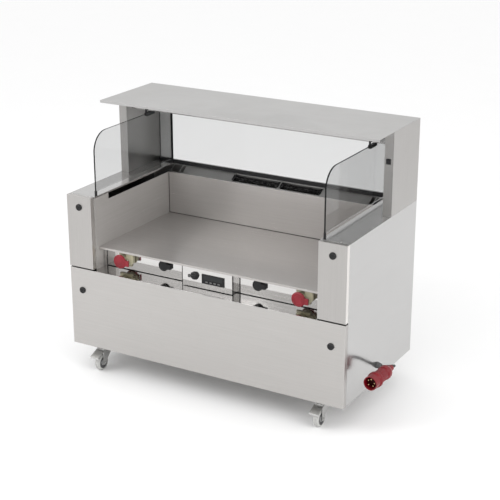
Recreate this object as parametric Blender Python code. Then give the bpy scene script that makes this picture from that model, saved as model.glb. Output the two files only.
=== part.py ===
"""Mobile front-cooking station with side and rear air extraction, breath guard and canopy.

Frame: +Z up, origin at the centre of the footprint on the floor, front (operator side) towards -Y.
Every depth below is a distance behind the front face, turned into Y by back(). Metres throughout.
"""

import math

import bmesh
import bpy
from mathutils import Matrix, Vector

# ---- overall sizes -------------------------------------------------------------------------
HALF_W = 0.750                     # half the cabinet's width
DEPTH = 0.750                      # cabinet depth, front face to rear face
PEDAL_REACH = 0.022                # how far the brake pedals stand in front of the front face
FRONT_Y = -(DEPTH + PEDAL_REACH) / 2 + PEDAL_REACH
SHEET = 0.002                      # sheet metal thickness
GAP = 0.0003                       # gap left between separate pieces

# ---- heights above the floor ---------------------------------------------------------------
Z_BASE = 0.134                     # lower edge of the cabinet
Z_LEDGE = 0.538                    # shelf behind the lower front panel's top edge
Z_COVER = 0.545                    # lower edge of the pillar covers
Z_FLOOR = 0.649                    # floor of the cooking niche
Z_WALL = 0.869                     # top of the niche walls, lower edge of the extraction slots
Z_TOP = 0.909                      # top of the cabinet
Z_GLASS = 0.929                    # lower edge of the side glasses
Z_GLASS_TOP = 1.215
Z_HEADER = 1.234                   # lower edge of the header rail
Z_CANOPY = 1.310                   # top of the canopy

# ---- depths behind the front face ----------------------------------------------------------
COVER_DEPTH = 0.025
BODY_FRONT = 0.0265                # front edge of the side panels
LIP_DEPTH = 0.053                  # front edge of the niche floor
BOX_DEPTH = 0.065                  # front of the control box
FACE_DEPTH = 0.105                 # front of the socket panels
SLOT_FRONT, SLOT_REAR = 0.145, 0.673
NICHE_REAR = 0.678
RAIL_FRONT, RAIL_REAR = 0.7325, 0.7475
COLUMN_FRONT = 0.455
HEADER_FRONT = 0.500
CANOPY_FRONT = 0.297
GLASS_FRONT, GLASS_REAR = 0.051, 0.715

# ---- widths --------------------------------------------------------------------------------
PILLAR_INNER = 0.606               # inner edge of the pillar tops
NICHE_HALF = 0.609                 # inner face of the niche side walls
COVER_INNER = 0.610                # inner edge of the pillar covers
COLUMN_INNER = 0.706
REAR_GLASS_HALF = 0.627
GLASS_X, GLASS_T = 0.614, 0.006
GLASS_RADIUS = 0.095
MODULE_GAP = {"left": 0.162, "right": 0.154}   # where the control module meets the socket panels
MODULE_END = 0.600
SEAM = 0.003                       # half the gap between two modules
BOX_HALF = 0.135

# ---- sloping ledge behind the niche: (depth, height) of its two bends ------------------------
LEDGE_LOW, LEDGE_HIGH = (NICHE_REAR + SHEET + GAP, Z_WALL + 0.001), (RAIL_FRONT, 0.902)
LEDGE_CUT = (0.6855, 0.7275)       # front and rear edge of its openings
LEDGE_OPENINGS = [(-0.600, -0.553), (-0.547, -0.528), (-0.233, 0.027), (0.043, 0.263), (0.528, 0.547),
                  (0.553, 0.600)]
FILTER_HALF, FILTER_SLATS = 0.0185, 12

# ---- small pieces --------------------------------------------------------------------------
LOCK_X, LOCK_R, LOCK_SHAFT = 0.680, 0.0165, 0.008
LOCK_HEIGHTS = {"upper": 0.853, "lower": 0.426}
CEE_X = {"left": -0.488, "right": 0.488}
CEE_Z, CEE_R = 0.593, 0.035
OUTLET_X = {"left": -0.265, "right": 0.253}
OUTLET_Z, OUTLET_R, OUTLET_LID_R = 0.599, 0.0250, 0.0265
KNOB_X, KNOB_Z, KNOB_R = -0.066, 0.598, 0.0185
DISPLAY = (-0.028, 0.094, 0.568, 0.614)   # x from, x to, z from, z to
SWITCH = (0.712, 0.739, 1.153, 1.183)
CASTER_X, SWIVEL_DEPTH, TRAIL = 0.612, 0.072, 0.035
WHEEL_R, WHEEL_W = 0.040, 0.030
PEDAL_PIN = (0.032, 0.1075)               # in front of the swivel axis, height
PEDAL_SLOPE = math.radians(21)
CABLE_R = 0.0065
EXIT = Vector((HALF_W, 0.358, 0.208))     # cable exit: x, depth, z
PLUG_MOUTH = Vector((0.846, 0.068, 0.256))
PLUG_AXIS = Vector((0.010, 0.211, -0.003)).normalized()
PLUG_LENGTH = 0.208                       # mouth to the end of the cable nut
PLUG_REAR = PLUG_MOUTH + PLUG_AXIS * PLUG_LENGTH
PLUG_PINS = ((88, 0.0032), (146, 0.0028), (4, 0.0028), (222, 0.0028), (308, 0.0028))
LEAD_BEND, LEAD_STEPS = 0.055, 30
SIDES = {"left": -1, "right": 1}

COLOURS = {
    "brushed": ((0.60, 0.59, 0.575, 1), 0.34, 1.0),
    "polished": ((0.66, 0.65, 0.64, 1), 0.12, 1.0),
    "glass": ((0.90, 0.94, 0.93, 0.3), 0.04, 0.0),
    "black": ((0.02, 0.02, 0.021, 1), 0.45, 0.0),
    "rubber": ((0.03, 0.03, 0.03, 1), 0.75, 0.0),
    "red": ((0.42, 0.015, 0.025, 1), 0.38, 0.0),
    "olive": ((0.28, 0.26, 0.17, 1), 0.5, 0.0),
    "grey": ((0.55, 0.55, 0.54, 1), 0.6, 0.0),
    "zinc": ((0.62, 0.62, 0.61, 1), 0.4, 1.0),
    "screen": ((0.012, 0.013, 0.015, 1), 0.12, 0.0),
}


def clear_scene():
    for old in list(bpy.data.objects):
        bpy.data.objects.remove(old, do_unlink=True)


clear_scene()
STATION = bpy.data.collections.new("front_cooking_station")
CUTTERS = bpy.data.collections.new("cutters")
for group in (STATION, CUTTERS):
    bpy.context.scene.collection.children.link(group)
CUTTERS.hide_render = True


def back(depth):
    """Y of a point that lies this far behind the front face."""
    return FRONT_Y + depth


def make_material(name):
    colour, roughness, metallic = COLOURS[name]
    material = bpy.data.materials.new(name)
    material.use_nodes = True
    shader = material.node_tree.nodes["Principled BSDF"]
    shader.inputs["Base Color"].default_value = colour
    shader.inputs["Roughness"].default_value = roughness
    shader.inputs["Metallic"].default_value = metallic
    material.diffuse_color = colour
    return material


MATERIALS = {name: make_material(name) for name in COLOURS}


def keep(name, bm, finish, pivot=(0.0, 0.0, 0.0)):
    """Turn a bmesh drawn in world coordinates into a named piece with its origin at the pivot."""
    bmesh.ops.remove_doubles(bm, verts=bm.verts, dist=1e-6)
    bmesh.ops.recalc_face_normals(bm, faces=bm.faces)
    pivot = Vector(pivot)
    bmesh.ops.translate(bm, verts=bm.verts, vec=-pivot)
    mesh = bpy.data.meshes.new(name)
    bm.to_mesh(mesh)
    bm.free()
    mesh.materials.append(MATERIALS[finish])
    obj = bpy.data.objects.new(name, mesh)
    obj.location = pivot
    STATION.objects.link(obj)
    return obj


def add_block(bm, x, depth, z, matrix=None):
    """Add a cuboid given its x, depth and z ranges."""
    y = (back(depth[0]), back(depth[1]))
    size = Vector((x[1] - x[0], y[1] - y[0], z[1] - z[0]))
    centre = Vector((sum(x) / 2, sum(y) / 2, sum(z) / 2))
    place = Matrix.Translation(centre) @ Matrix.Diagonal((*size, 1))
    bmesh.ops.create_cube(bm, size=1, matrix=(matrix @ place) if matrix else place)


def add_cylinder(bm, centre, axis, radii, length, segments=32):
    """Add a cylinder or cone frustum centred on a point, its first radius at the -axis end."""
    turn = Vector((0, 0, 1)).rotation_difference(Vector(axis)).to_matrix().to_4x4()
    bmesh.ops.create_cone(bm, cap_ends=True, segments=segments, radius1=radii[0], radius2=radii[1],
                          depth=length, matrix=Matrix.Translation(Vector(centre)) @ turn)


def boolean(target, operation, tools):
    """Join to, or cut from, the target one solid after another, and keep the result as its mesh."""
    for index, tool in enumerate(tools):
        bmesh.ops.recalc_face_normals(tool, faces=tool.faces)
        mesh = bpy.data.meshes.new(f"{target.name}_tool_{index}")
        tool.to_mesh(mesh)
        tool.free()
        cutter = bpy.data.objects.new(mesh.name, mesh)
        cutter.display_type = "WIRE"
        cutter.hide_render = True
        CUTTERS.objects.link(cutter)
        modifier = target.modifiers.new(f"{operation.lower()}_{index}", "BOOLEAN")
        modifier.operation, modifier.solver, modifier.object = operation, "EXACT", cutter
    return target


def solid(*blocks):
    """A bmesh holding cuboids, each given as x, depth and z ranges."""
    bm = bmesh.new()
    for block in blocks:
        add_block(bm, *block)
    return bm


def rod(centre, axis, radius, length, segments=32):
    bm = bmesh.new()
    add_cylinder(bm, centre, axis, (radius, radius), length, segments)
    return bm


def block_piece(name, finish, x, depth, z, pivot=(0.0, 0.0, 0.0)):
    return keep(name, solid((x, depth, z)), finish, pivot)


def sheet_outline(path, thickness):
    """Close a bent sheet's path of (first, z) corners, its thickness on the right of the travel."""
    corners = [Vector(corner) for corner in path]
    legs = [(end - start).normalized() for start, end in zip(corners, corners[1:])]
    sides = [Vector((leg.y, -leg.x)) for leg in legs]
    inner = [corners[0] + sides[0] * thickness]
    for corner, before, after in zip(corners[1:], sides, sides[1:]):
        inner.append(corner + (before + after) * thickness / (1 + before.dot(after)))
    inner.append(corners[-1] + sides[-1] * thickness)
    return corners + inner[::-1]


def folded_sheet(name, finish, path, span, along_x, thickness=SHEET):
    """A sheet bent along a path of (depth, z) or (x, z) corners, run along X or along the depth."""
    bm = bmesh.new()
    corners = []
    for first, z in sheet_outline(path, thickness):
        corners.append(bm.verts.new((span[0], back(first), z) if along_x else (first, back(span[0]), z)))
    face = bm.faces.new(corners)
    run = Vector((span[1] - span[0], 0, 0) if along_x else (0, span[1] - span[0], 0))
    swept = bmesh.ops.extrude_face_region(bm, geom=[face])["geom"]
    bmesh.ops.translate(bm, verts=[v for v in swept if isinstance(v, bmesh.types.BMVert)], vec=run)
    return keep(name, bm, finish)


def outline_plate(name, finish, outline, x_range):
    """A flat plate cut to an outline of (depth, z) corners."""
    bm = bmesh.new()
    face = bm.faces.new([bm.verts.new((x_range[0], back(d), z)) for d, z in outline])
    swept = bmesh.ops.extrude_face_region(bm, geom=[face])["geom"]
    moved = [v for v in swept if isinstance(v, bmesh.types.BMVert)]
    bmesh.ops.translate(bm, verts=moved, vec=(x_range[1] - x_range[0], 0, 0))
    return keep(name, bm, finish)


def add_turned(bm, profile, centre, axis, steps=40):
    """Spin a profile of (radius, distance along the axis) corners round the axis at the centre."""
    verts = [bm.verts.new((radius, 0, along)) for radius, along in profile]
    edges = [bm.edges.new(pair) for pair in zip(verts, verts[1:])]
    made = bmesh.ops.spin(bm, geom=verts + edges, cent=(0, 0, 0), axis=(0, 0, 1), dvec=(0, 0, 0),
                          angle=math.tau, steps=steps, use_merge=True, use_duplicate=False)
    bmesh.ops.remove_doubles(bm, verts=bm.verts, dist=1e-6)
    turn = Vector((0, 0, 1)).rotation_difference(Vector(axis)).to_matrix().to_4x4()
    bmesh.ops.transform(bm, matrix=Matrix.Translation(Vector(centre)) @ turn, verts=bm.verts)
    return made


def turned(profile, centre, axis, steps=40):
    bm = bmesh.new()
    add_turned(bm, profile, centre, axis, steps)
    return bm


def mirrored(sign, low, high):
    """The x range at this side of the station, low to high away from the middle."""
    return (sign * low, sign * high) if sign > 0 else (sign * high, sign * low)


# ---- cabinet -------------------------------------------------------------------------------
def build_cabinet():
    tray = block_piece("base_tray", "brushed", (-0.7475, 0.7475), (0.0275, 0.7475), (Z_BASE, 0.164))
    boolean(tray, "DIFFERENCE", [solid(((-0.7455, 0.7455), (0.0295, 0.7455), (0.137, 0.2)))])

    rear = block_piece("rear_panel", "brushed", (-0.7475, 0.7475), (0.748, DEPTH), (Z_BASE, 0.9015))
    slots = [((-0.17, 0.17), (0.74, 0.76), (0.20 + 0.018 * row, 0.207 + 0.018 * row)) for row in range(9)]
    boolean(rear, "DIFFERENCE", [solid(*slots)])

    for side, sign in SIDES.items():
        profile = [(sign * HALF_W, Z_BASE), (sign * HALF_W, Z_TOP), (sign * PILLAR_INNER, Z_TOP),
                   (sign * PILLAR_INNER, Z_TOP - 0.008)]
        panel = folded_sheet(f"side_panel_{side}", "brushed", profile, (BODY_FRONT, DEPTH), False,
                             -sign * SHEET)
        boolean(panel, "DIFFERENCE", [solid((mirrored(sign, 0.600, 0.7478), (RAIL_FRONT - 0.0005, 0.76),
                                             (0.895, 0.920)))])
        if side == "right":
            boolean(panel, "DIFFERENCE",
                    [rod((EXIT.x, back(EXIT.y), EXIT.z), (1, 0, 0), 0.0105, 0.02)])
        wall = [(BODY_FRONT, Z_LEDGE + GAP), (NICHE_REAR + 0.002, Z_LEDGE + GAP), (NICHE_REAR + 0.002, Z_WALL),
                (SLOT_FRONT, Z_WALL), (SLOT_FRONT, 0.9005), (BODY_FRONT, 0.9005)]
        outline_plate(f"niche_wall_{side}", "polished", wall, mirrored(sign, NICHE_HALF, NICHE_HALF + SHEET))


def build_niche():
    inner = NICHE_HALF - GAP
    folded_sheet("niche_floor", "polished",
                 [(LIP_DEPTH, Z_FLOOR - 0.010), (LIP_DEPTH, Z_FLOOR), (NICHE_REAR - GAP, Z_FLOOR)],
                 (-inner, inner), True)
    block_piece("niche_rear_wall", "polished", (-inner, inner), (NICHE_REAR, NICHE_REAR + SHEET),
                (Z_FLOOR - 0.004, Z_WALL))
    ledge = folded_sheet("rear_ledge", "brushed", [(LEDGE_LOW[0], 0.850), LEDGE_LOW, LEDGE_HIGH,
                                                   (RAIL_REAR, LEDGE_HIGH[1])], (-inner + 0.004, inner - 0.004), True)
    boolean(ledge, "DIFFERENCE", [solid(*[(x, LEDGE_CUT, (0.86, 0.93)) for x in LEDGE_OPENINGS])])
    build_filter("left", LEDGE_OPENINGS[2])
    build_filter("right", LEDGE_OPENINGS[3])


def build_filter(side, x):
    """Grease filter cassette lying in an opening of the sloping ledge, hung by its two end lips."""
    rise, run = LEDGE_HIGH[1] - LEDGE_LOW[1], LEDGE_HIGH[0] - LEDGE_LOW[0]
    depth = sum(LEDGE_CUT) / 2
    surface = Vector((sum(x) / 2, back(depth), LEDGE_LOW[1] + rise * (depth - LEDGE_LOW[0]) / run))
    tilt = Matrix.Translation(surface) @ Matrix.Rotation(math.atan2(rise, run), 4, "X")
    half, reach = (x[1] - x[0]) / 2 - 0.0015, FILTER_HALF

    def local(size, centre):
        bm = bmesh.new()
        place = tilt @ Matrix.Translation(centre) @ Matrix.Diagonal((*size, 1))
        bmesh.ops.create_cube(bm, size=1, matrix=place)
        return bm

    cassette = keep(f"filter_{side}", local((2 * half, 2 * reach, 0.012), (0, 0, -0.014)), "zinc", surface)
    lips = [local((0.006, 2 * reach, 0.0214), (end * (half - 0.003), 0, -0.0097)) for end in (-1, 1)]
    hooks = [local((0.010, 2 * reach, 0.0012), (end * (half + 0.001), 0, 0.0009)) for end in (-1, 1)]
    grip = local((2 * half - 0.002, 0.0025, 0.014), (0, -0.002, -0.006))
    slats = bmesh.new()
    pitch = (2 * half - 0.016) / FILTER_SLATS
    for index in range(FILTER_SLATS):
        for row in (-0.0105, 0.0075):
            place = tilt @ Matrix.Translation(((index - (FILTER_SLATS - 1) / 2) * pitch, row, -0.010)) @ \
                Matrix.Diagonal((pitch * 0.55, 0.011, 0.012, 1))
            bmesh.ops.create_cube(slats, size=1, matrix=place)
    boolean(cassette, "UNION", [*lips, *hooks, grip])
    boolean(cassette, "DIFFERENCE", [slats])


def build_front():
    """Lower service panel, pillar covers and their quarter-turn locks."""
    panel = block_piece("front_panel", "brushed", (-HALF_W, HALF_W), (0, COVER_DEPTH), (Z_BASE, Z_LEDGE),
                        (0, back(0), Z_BASE))
    soften_upright_edges(panel, 0.004)
    tools = [solid(((-HALF_W + SHEET, HALF_W - SHEET), (SHEET, 0.03), (Z_BASE + SHEET, 0.56)))]
    tools += [rod((sign * LOCK_X, back(0), LOCK_HEIGHTS["lower"]), (0, 1, 0), LOCK_SHAFT + GAP, 0.02)
              for sign in SIDES.values()]
    boolean(panel, "DIFFERENCE", tools)
    for side, sign in SIDES.items():
        cover = block_piece(f"pillar_cover_{side}", "brushed", mirrored(sign, COVER_INNER, HALF_W),
                            (0, COVER_DEPTH), (Z_COVER, Z_TOP), (sign * LOCK_X, back(0), Z_COVER))
        hollow = solid((mirrored(sign, COVER_INNER + SHEET, HALF_W - SHEET), (SHEET, 0.03),
                        (Z_COVER + SHEET, Z_TOP - SHEET)))
        hole = rod((sign * LOCK_X, back(0), LOCK_HEIGHTS["upper"]), (0, 1, 0), LOCK_SHAFT + GAP, 0.02)
        boolean(cover, "DIFFERENCE", [hollow, hole])
        for level, z in LOCK_HEIGHTS.items():
            build_lock(f"lock_{level}_{side}", sign * LOCK_X, z)


def soften_upright_edges(piece, radius):
    """Round the two upright edges at the front of a freshly made cuboid."""
    bm = bmesh.new()
    bm.from_mesh(piece.data)
    front = min(v.co.y for v in bm.verts)
    edges = [e for e in bm.edges if all(abs(v.co.y - front) < GAP for v in e.verts)
             and abs(e.verts[0].co.x - e.verts[1].co.x) < GAP]
    bmesh.ops.bevel(bm, geom=edges, offset=radius, segments=3, profile=0.5, affect="EDGES", material=-1)
    bm.to_mesh(piece.data)
    bm.free()


def build_lock(name, x, z):
    """Quarter-turn lock: round head with a key slot, shaft through the sheet, cam behind it."""
    pivot = (x, back(0), z)
    head = [(0, 0.0003), (LOCK_R, 0.0003), (LOCK_R, 0.004), (LOCK_R - 0.003, 0.007), (0, 0.007)]
    lock = keep(name, turned(head, pivot, (0, -1, 0), 36), "black", pivot)
    shaft = rod((x, back(0.0065), z), (0, 1, 0), LOCK_SHAFT, 0.015, 24)
    cam = solid(((x - 0.032, x + 0.009), (0.0115, 0.0145), (z - 0.007, z + 0.007)))
    slot = solid(((x - 0.009, x + 0.009), (-0.010, -0.0045), (z - 0.0015, z + 0.0015)))
    boolean(lock, "UNION", [shaft, cam])
    boolean(lock, "DIFFERENCE", [slot])


# ---- control area --------------------------------------------------------------------------
def build_controls():
    inner = NICHE_HALF - GAP
    ledge = block_piece("ledge_plate", "polished", (-inner, inner), (0.0025, FACE_DEPTH + SHEET),
                        (Z_LEDGE - SHEET, Z_LEDGE))
    top = Z_FLOOR - SHEET - GAP
    ears = [solid((mirrored(sign, MODULE_END + SEAM, inner), (FACE_DEPTH, FACE_DEPTH + SHEET),
                   (Z_LEDGE - SHEET, top))) for sign in SIDES.values()]
    boolean(ledge, "UNION", ears)

    low = Z_LEDGE + 0.0035
    for side, sign in SIDES.items():
        panel = block_piece(f"socket_panel_{side}", "polished", mirrored(sign, MODULE_GAP[side] + SEAM, MODULE_END - SEAM),
                            (FACE_DEPTH, FACE_DEPTH + SHEET), (low, top))
        boolean(panel, "DIFFERENCE",
                [rod((CEE_X[side], back(FACE_DEPTH), CEE_Z), (0, 1, 0), 0.0275, 0.02, 40),
                 rod((OUTLET_X[side], back(FACE_DEPTH), OUTLET_Z), (0, 1, 0), 0.0195, 0.02, 40)])
        build_cee_socket(side)
        build_outlet(side)

    box = block_piece("control_box", "polished", (-BOX_HALF, BOX_HALF), (BOX_DEPTH, FACE_DEPTH + SHEET),
                      (low, top))
    plate = solid(((SEAM - MODULE_GAP["left"], MODULE_GAP["right"] - SEAM), (FACE_DEPTH, FACE_DEPTH + SHEET), (low, top)))
    hollow = solid(((-BOX_HALF + SHEET, BOX_HALF - SHEET), (BOX_DEPTH + SHEET, 0.12),
                    (low + SHEET, top - SHEET)))
    boolean(box, "UNION", [plate])
    boolean(box, "DIFFERENCE", [hollow, rod((KNOB_X, back(BOX_DEPTH), KNOB_Z), (0, 1, 0), 0.0043, 0.02, 24)])

    x0, x1, z0, z1 = DISPLAY
    display = block_piece("display_panel", "screen", (x0, x1), (BOX_DEPTH - 0.0033, BOX_DEPTH - GAP), (z0, z1))
    keys = [((x0 + 0.020 + 0.022 * i, x0 + 0.034 + 0.022 * i), (BOX_DEPTH - 0.005, BOX_DEPTH - 0.0030),
             (z0 + 0.007, z0 + 0.013)) for i in range(4)]
    boolean(display, "DIFFERENCE", [solid(*keys)])

    pivot = (KNOB_X, back(BOX_DEPTH), KNOB_Z)
    profile = [(0, 0.0003), (KNOB_R, 0.0003), (KNOB_R, 0.003), (KNOB_R - 0.0015, 0.004),
               (KNOB_R - 0.0025, 0.013), (KNOB_R - 0.004, 0.015), (0, 0.015)]
    knob = keep("rotary_knob", turned(profile, pivot, (0, -1, 0), 40), "black", pivot)
    grip = solid(((KNOB_X - 0.029, KNOB_X + 0.011), (BOX_DEPTH - 0.018, BOX_DEPTH - 0.008),
                  (KNOB_Z - 0.006, KNOB_Z + 0.006)))
    shaft = rod((KNOB_X, back(BOX_DEPTH + 0.005), KNOB_Z), (0, 1, 0), 0.004, 0.012, 24)
    boolean(knob, "UNION", [grip, shaft])


def build_cee_socket(side):
    """Five-pin socket: flange, barrel through the panel, bored mouth, and a lid hinged at its right."""
    x, z = CEE_X[side], CEE_Z
    face = back(FACE_DEPTH)
    body = block_piece(f"cee_socket_{side}", "olive", (x - 0.034, x + 0.036), (FACE_DEPTH - 0.008, FACE_DEPTH - GAP),
                       (z - 0.034, z + 0.036))
    barrel = rod((x, face - 0.012, z), (0, 1, 0), 0.027, 0.070, 40)
    knuckle = solid(((x + 0.030, x + 0.036), (0.063, FACE_DEPTH - 0.007), (z - 0.016, z + 0.010)))
    web = solid(((x + 0.020, x + 0.032), (0.085, FACE_DEPTH - 0.007), (z - 0.016, z + 0.010)))
    mouth = rod((x, face - 0.032, z), (0, 1, 0), 0.0235, 0.040, 40)
    boolean(body, "UNION", [barrel, knuckle, web])
    boolean(body, "DIFFERENCE", [mouth])

    pivot = (x + 0.043, face - 0.047, z)
    profile = [(0, 0.0475), (CEE_R - 0.001, 0.0475), (CEE_R, 0.049), (CEE_R, 0.054), (CEE_R - 0.004, 0.057),
               (0, 0.0575)]
    lid = keep(f"cee_lid_{side}", turned(profile, (x, face, z), (0, -1, 0), 44), "red", pivot)
    lug = solid(((x + 0.012, x + 0.050), (0.049, 0.0575), (z - 0.018, z + 0.012)))
    boolean(lid, "UNION", [lug])


def build_outlet(side):
    """Household outlet: round body with a recessed cup, and a lid hinged at its right."""
    x, z = OUTLET_X[side], OUTLET_Z
    face = back(FACE_DEPTH)
    cup = [(0, -0.020), (0.019, -0.020), (0.019, GAP), (OUTLET_R, GAP), (OUTLET_R, 0.0055), (0.0165, 0.0055),
           (0.0165, -0.016), (0, -0.016)]
    body = keep(f"outlet_{side}", turned(cup, (x, face, z), (0, -1, 0), 36), "black")
    boolean(body, "UNION", [solid(((x + 0.018, x + 0.041), (FACE_DEPTH - 0.0035, FACE_DEPTH - GAP),
                                   (z - 0.013, z + 0.013)))])

    pivot = (x + 0.036, face - 0.0110, z)
    disc = [(0, 0.006), (OUTLET_LID_R, 0.006), (OUTLET_LID_R, 0.010), (OUTLET_LID_R - 0.002, 0.0125), (0, 0.0125)]
    lid = keep(f"outlet_lid_{side}", turned(disc, (x, face, z), (0, -1, 0), 40), "black", pivot)
    boolean(lid, "UNION", [solid(((x + 0.014, x + 0.0415), (FACE_DEPTH - 0.0145, FACE_DEPTH - 0.0075),
                                  (z - 0.012, z + 0.012)))])


# ---- breath guard --------------------------------------------------------------------------
def build_guard():
    top = Z_CANOPY - SHEET - GAP
    for side, sign in SIDES.items():
        column = block_piece(f"column_{side}", "brushed", mirrored(sign, COLUMN_INNER, HALF_W),
                             (COLUMN_FRONT, DEPTH), (Z_TOP + GAP, top))
        wing = solid((mirrored(sign, REAR_GLASS_HALF + 0.001, COLUMN_INNER + 0.001), (0.748, DEPTH),
                      (0.9023, top)))
        hollow = solid((mirrored(sign, COLUMN_INNER + SHEET, HALF_W - SHEET), (COLUMN_FRONT + SHEET, DEPTH - SHEET),
                        (0.88, top - SHEET)))
        boolean(column, "UNION", [wing])
        boolean(column, "DIFFERENCE", [hollow])
        if side == "right":
            x0, x1, z0, z1 = SWITCH
            window = ((x0 + 0.0015, x1 - 0.0015), (0.45, 0.46), (z0 + 0.0015, z1 - 0.0015))
            boolean(column, "DIFFERENCE", [solid(window)])
            build_rocker()
        build_side_glass(side, sign)

    folded_sheet("header_rail", "polished",
                 [(HEADER_FRONT + 0.022, Z_HEADER + 0.022), (HEADER_FRONT + 0.022, Z_HEADER),
                  (HEADER_FRONT, Z_HEADER), (HEADER_FRONT, top)], (-COLUMN_INNER + GAP, COLUMN_INNER - GAP), True)
    folded_sheet("canopy", "brushed",
                 [(CANOPY_FRONT, Z_CANOPY - 0.012), (CANOPY_FRONT, Z_CANOPY), (DEPTH, Z_CANOPY)],
                 (-HALF_W, HALF_W), True)
    block_piece("rear_glass_rail", "black", (-COLUMN_INNER + GAP, COLUMN_INNER - GAP),
                (RAIL_FRONT, RAIL_REAR), (0.9023, 0.922))
    block_piece("rear_glass", "glass", (-REAR_GLASS_HALF, REAR_GLASS_HALF), (0.7385, 0.7445), (0.9223, top))


def build_rocker():
    """Rocker switch set in the right column's front, tilting about its middle."""
    x0, x1, z0, z1 = SWITCH
    x, z = (x0 + x1) / 2, (z0 + z1) / 2
    pivot = (x, back(COLUMN_FRONT + 0.004), z)
    bm = solid(((x0 + 0.003, x1 - 0.003), (COLUMN_FRONT - 0.003, COLUMN_FRONT + 0.008), (z0 + 0.004, z1 - 0.004)))
    rocker = keep("rocker_switch", bm, "black", pivot)
    notch = rod((x, back(COLUMN_FRONT - 0.030), z), (1, 0, 0), 0.0285, 0.06, 72)
    boolean(rocker, "DIFFERENCE", [notch])


def build_side_glass(side, sign):
    """Side pane with a large round at its top front corner, held by a foot and a hanging clamp."""
    outline = [(GLASS_FRONT, Z_GLASS)]
    steps = 14
    for index in range(steps + 1):
        angle = math.pi - index * math.pi / 2 / steps
        outline.append((GLASS_FRONT + GLASS_RADIUS + GLASS_RADIUS * math.cos(angle),
                        Z_GLASS_TOP - GLASS_RADIUS + GLASS_RADIUS * math.sin(angle)))
    outline += [(GLASS_REAR, Z_GLASS_TOP), (GLASS_REAR, Z_GLASS)]
    half = GLASS_T / 2
    outline_plate(f"side_glass_{side}", "glass", outline, mirrored(sign, GLASS_X - half, GLASS_X + half))

    groove = (GLASS_X - half - GAP, GLASS_X + half + GAP)
    for end, (near, far) in {"front": (0.0475, 0.0570), "rear": (0.7090, 0.7185)}.items():
        foot = block_piece(f"glass_foot_{end}_{side}", "black", mirrored(sign, 0.6095, 0.6185), (near, far),
                           (Z_TOP + GAP, Z_GLASS + 0.003))
        cut = (GLASS_FRONT - GAP, 0.08) if end == "front" else (0.68, GLASS_REAR + GAP)
        boolean(foot, "DIFFERENCE", [solid((mirrored(sign, *groove), cut, (Z_GLASS - GAP, 0.95)))])

    clamp = block_piece(f"glass_clamp_{side}", "black", mirrored(sign, 0.607, 0.621), (HEADER_FRONT - 0.012, HEADER_FRONT + 0.060),
                        (Z_GLASS_TOP - 0.010, Z_GLASS_TOP + 0.006))
    stem = rod((sign * GLASS_X, back(HEADER_FRONT - 0.006), (Z_GLASS_TOP + Z_CANOPY) / 2 + 0.001), (0, 0, 1), 0.005,
               Z_CANOPY - Z_GLASS_TOP - 0.0075, 24)
    boolean(clamp, "UNION", [stem])
    boolean(clamp, "DIFFERENCE", [solid((mirrored(sign, *groove), (HEADER_FRONT - 0.02, HEADER_FRONT + 0.07), (1.19, Z_GLASS_TOP + GAP)))])


# ---- casters -------------------------------------------------------------------------------
def build_casters():
    for side, sign in SIDES.items():
        for row, depth in {"front": SWIVEL_DEPTH, "rear": DEPTH - SWIVEL_DEPTH}.items():
            build_caster(f"{row}_{side}", sign * CASTER_X, depth, row == "front")


def build_caster(name, x, depth, braked):
    swivel = Vector((x, back(depth), Z_BASE))
    axle = Vector((x, back(depth - TRAIL), WHEEL_R))
    cheek_in, cheek_out = WHEEL_W / 2 + 0.0035, WHEEL_W / 2 + 0.006
    fork = keep(f"caster_fork_{name}", turned([(0, -0.0003), (0.030, -0.0003), (0.030, -0.006), (0.026, -0.010),
                                               (0.026, -0.014), (0, -0.014)], swivel, (0, 0, 1), 36), "zinc", swivel)
    crown = solid(((x - cheek_out, x + cheek_out), (depth - 0.038, depth + 0.026), (Z_BASE - 0.016, Z_BASE - 0.013)))
    cheeks = []
    for sign in SIDES.values():
        bm = bmesh.new()
        low = axle.y - FRONT_Y
        outline = [(depth + 0.026, Z_BASE - 0.013), (depth - 0.038, Z_BASE - 0.013), (depth - 0.040, 0.098),
                   (low - 0.012, 0.046), (low - 0.009, 0.033), (low, 0.029), (low + 0.011, 0.034),
                   (low + 0.020, 0.050), (depth + 0.020, 0.085)]
        x0 = x + sign * cheek_in if sign > 0 else x - cheek_out
        face = bm.faces.new([bm.verts.new((x0, back(d), z)) for d, z in outline])
        swept = bmesh.ops.extrude_face_region(bm, geom=[face])["geom"]
        bmesh.ops.translate(bm, verts=[v for v in swept if isinstance(v, bmesh.types.BMVert)],
                            vec=(cheek_out - cheek_in, 0, 0))
        cheeks.append(bm)
    pins = [rod(axle, (1, 0, 0), 0.004, 2 * cheek_out + 0.006, 20)]
    if braked:
        pins.append(rod((x, back(depth - PEDAL_PIN[0]), PEDAL_PIN[1]), (1, 0, 0), 0.003, 0.052, 20))
    boolean(fork, "UNION", [crown, *cheeks, *pins])

    half = WHEEL_W / 2
    profile = [(0.0043, -half), (0.014, -half), (0.016, -half + 0.004), (0.028, -half + 0.004),
               (0.030, -half + 0.001), (WHEEL_R - 0.004, -half + 0.001), (WHEEL_R, -half + 0.005),
               (WHEEL_R, half - 0.005), (WHEEL_R - 0.004, half - 0.001), (0.030, half - 0.001),
               (0.028, half - 0.004), (0.016, half - 0.004), (0.014, half), (0.0043, half), (0.0043, -half)]
    keep(f"caster_wheel_{name}", turned(profile, axle, (1, 0, 0), 44), "rubber", axle)

    if braked:
        build_pedal(name, x, depth)


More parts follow.
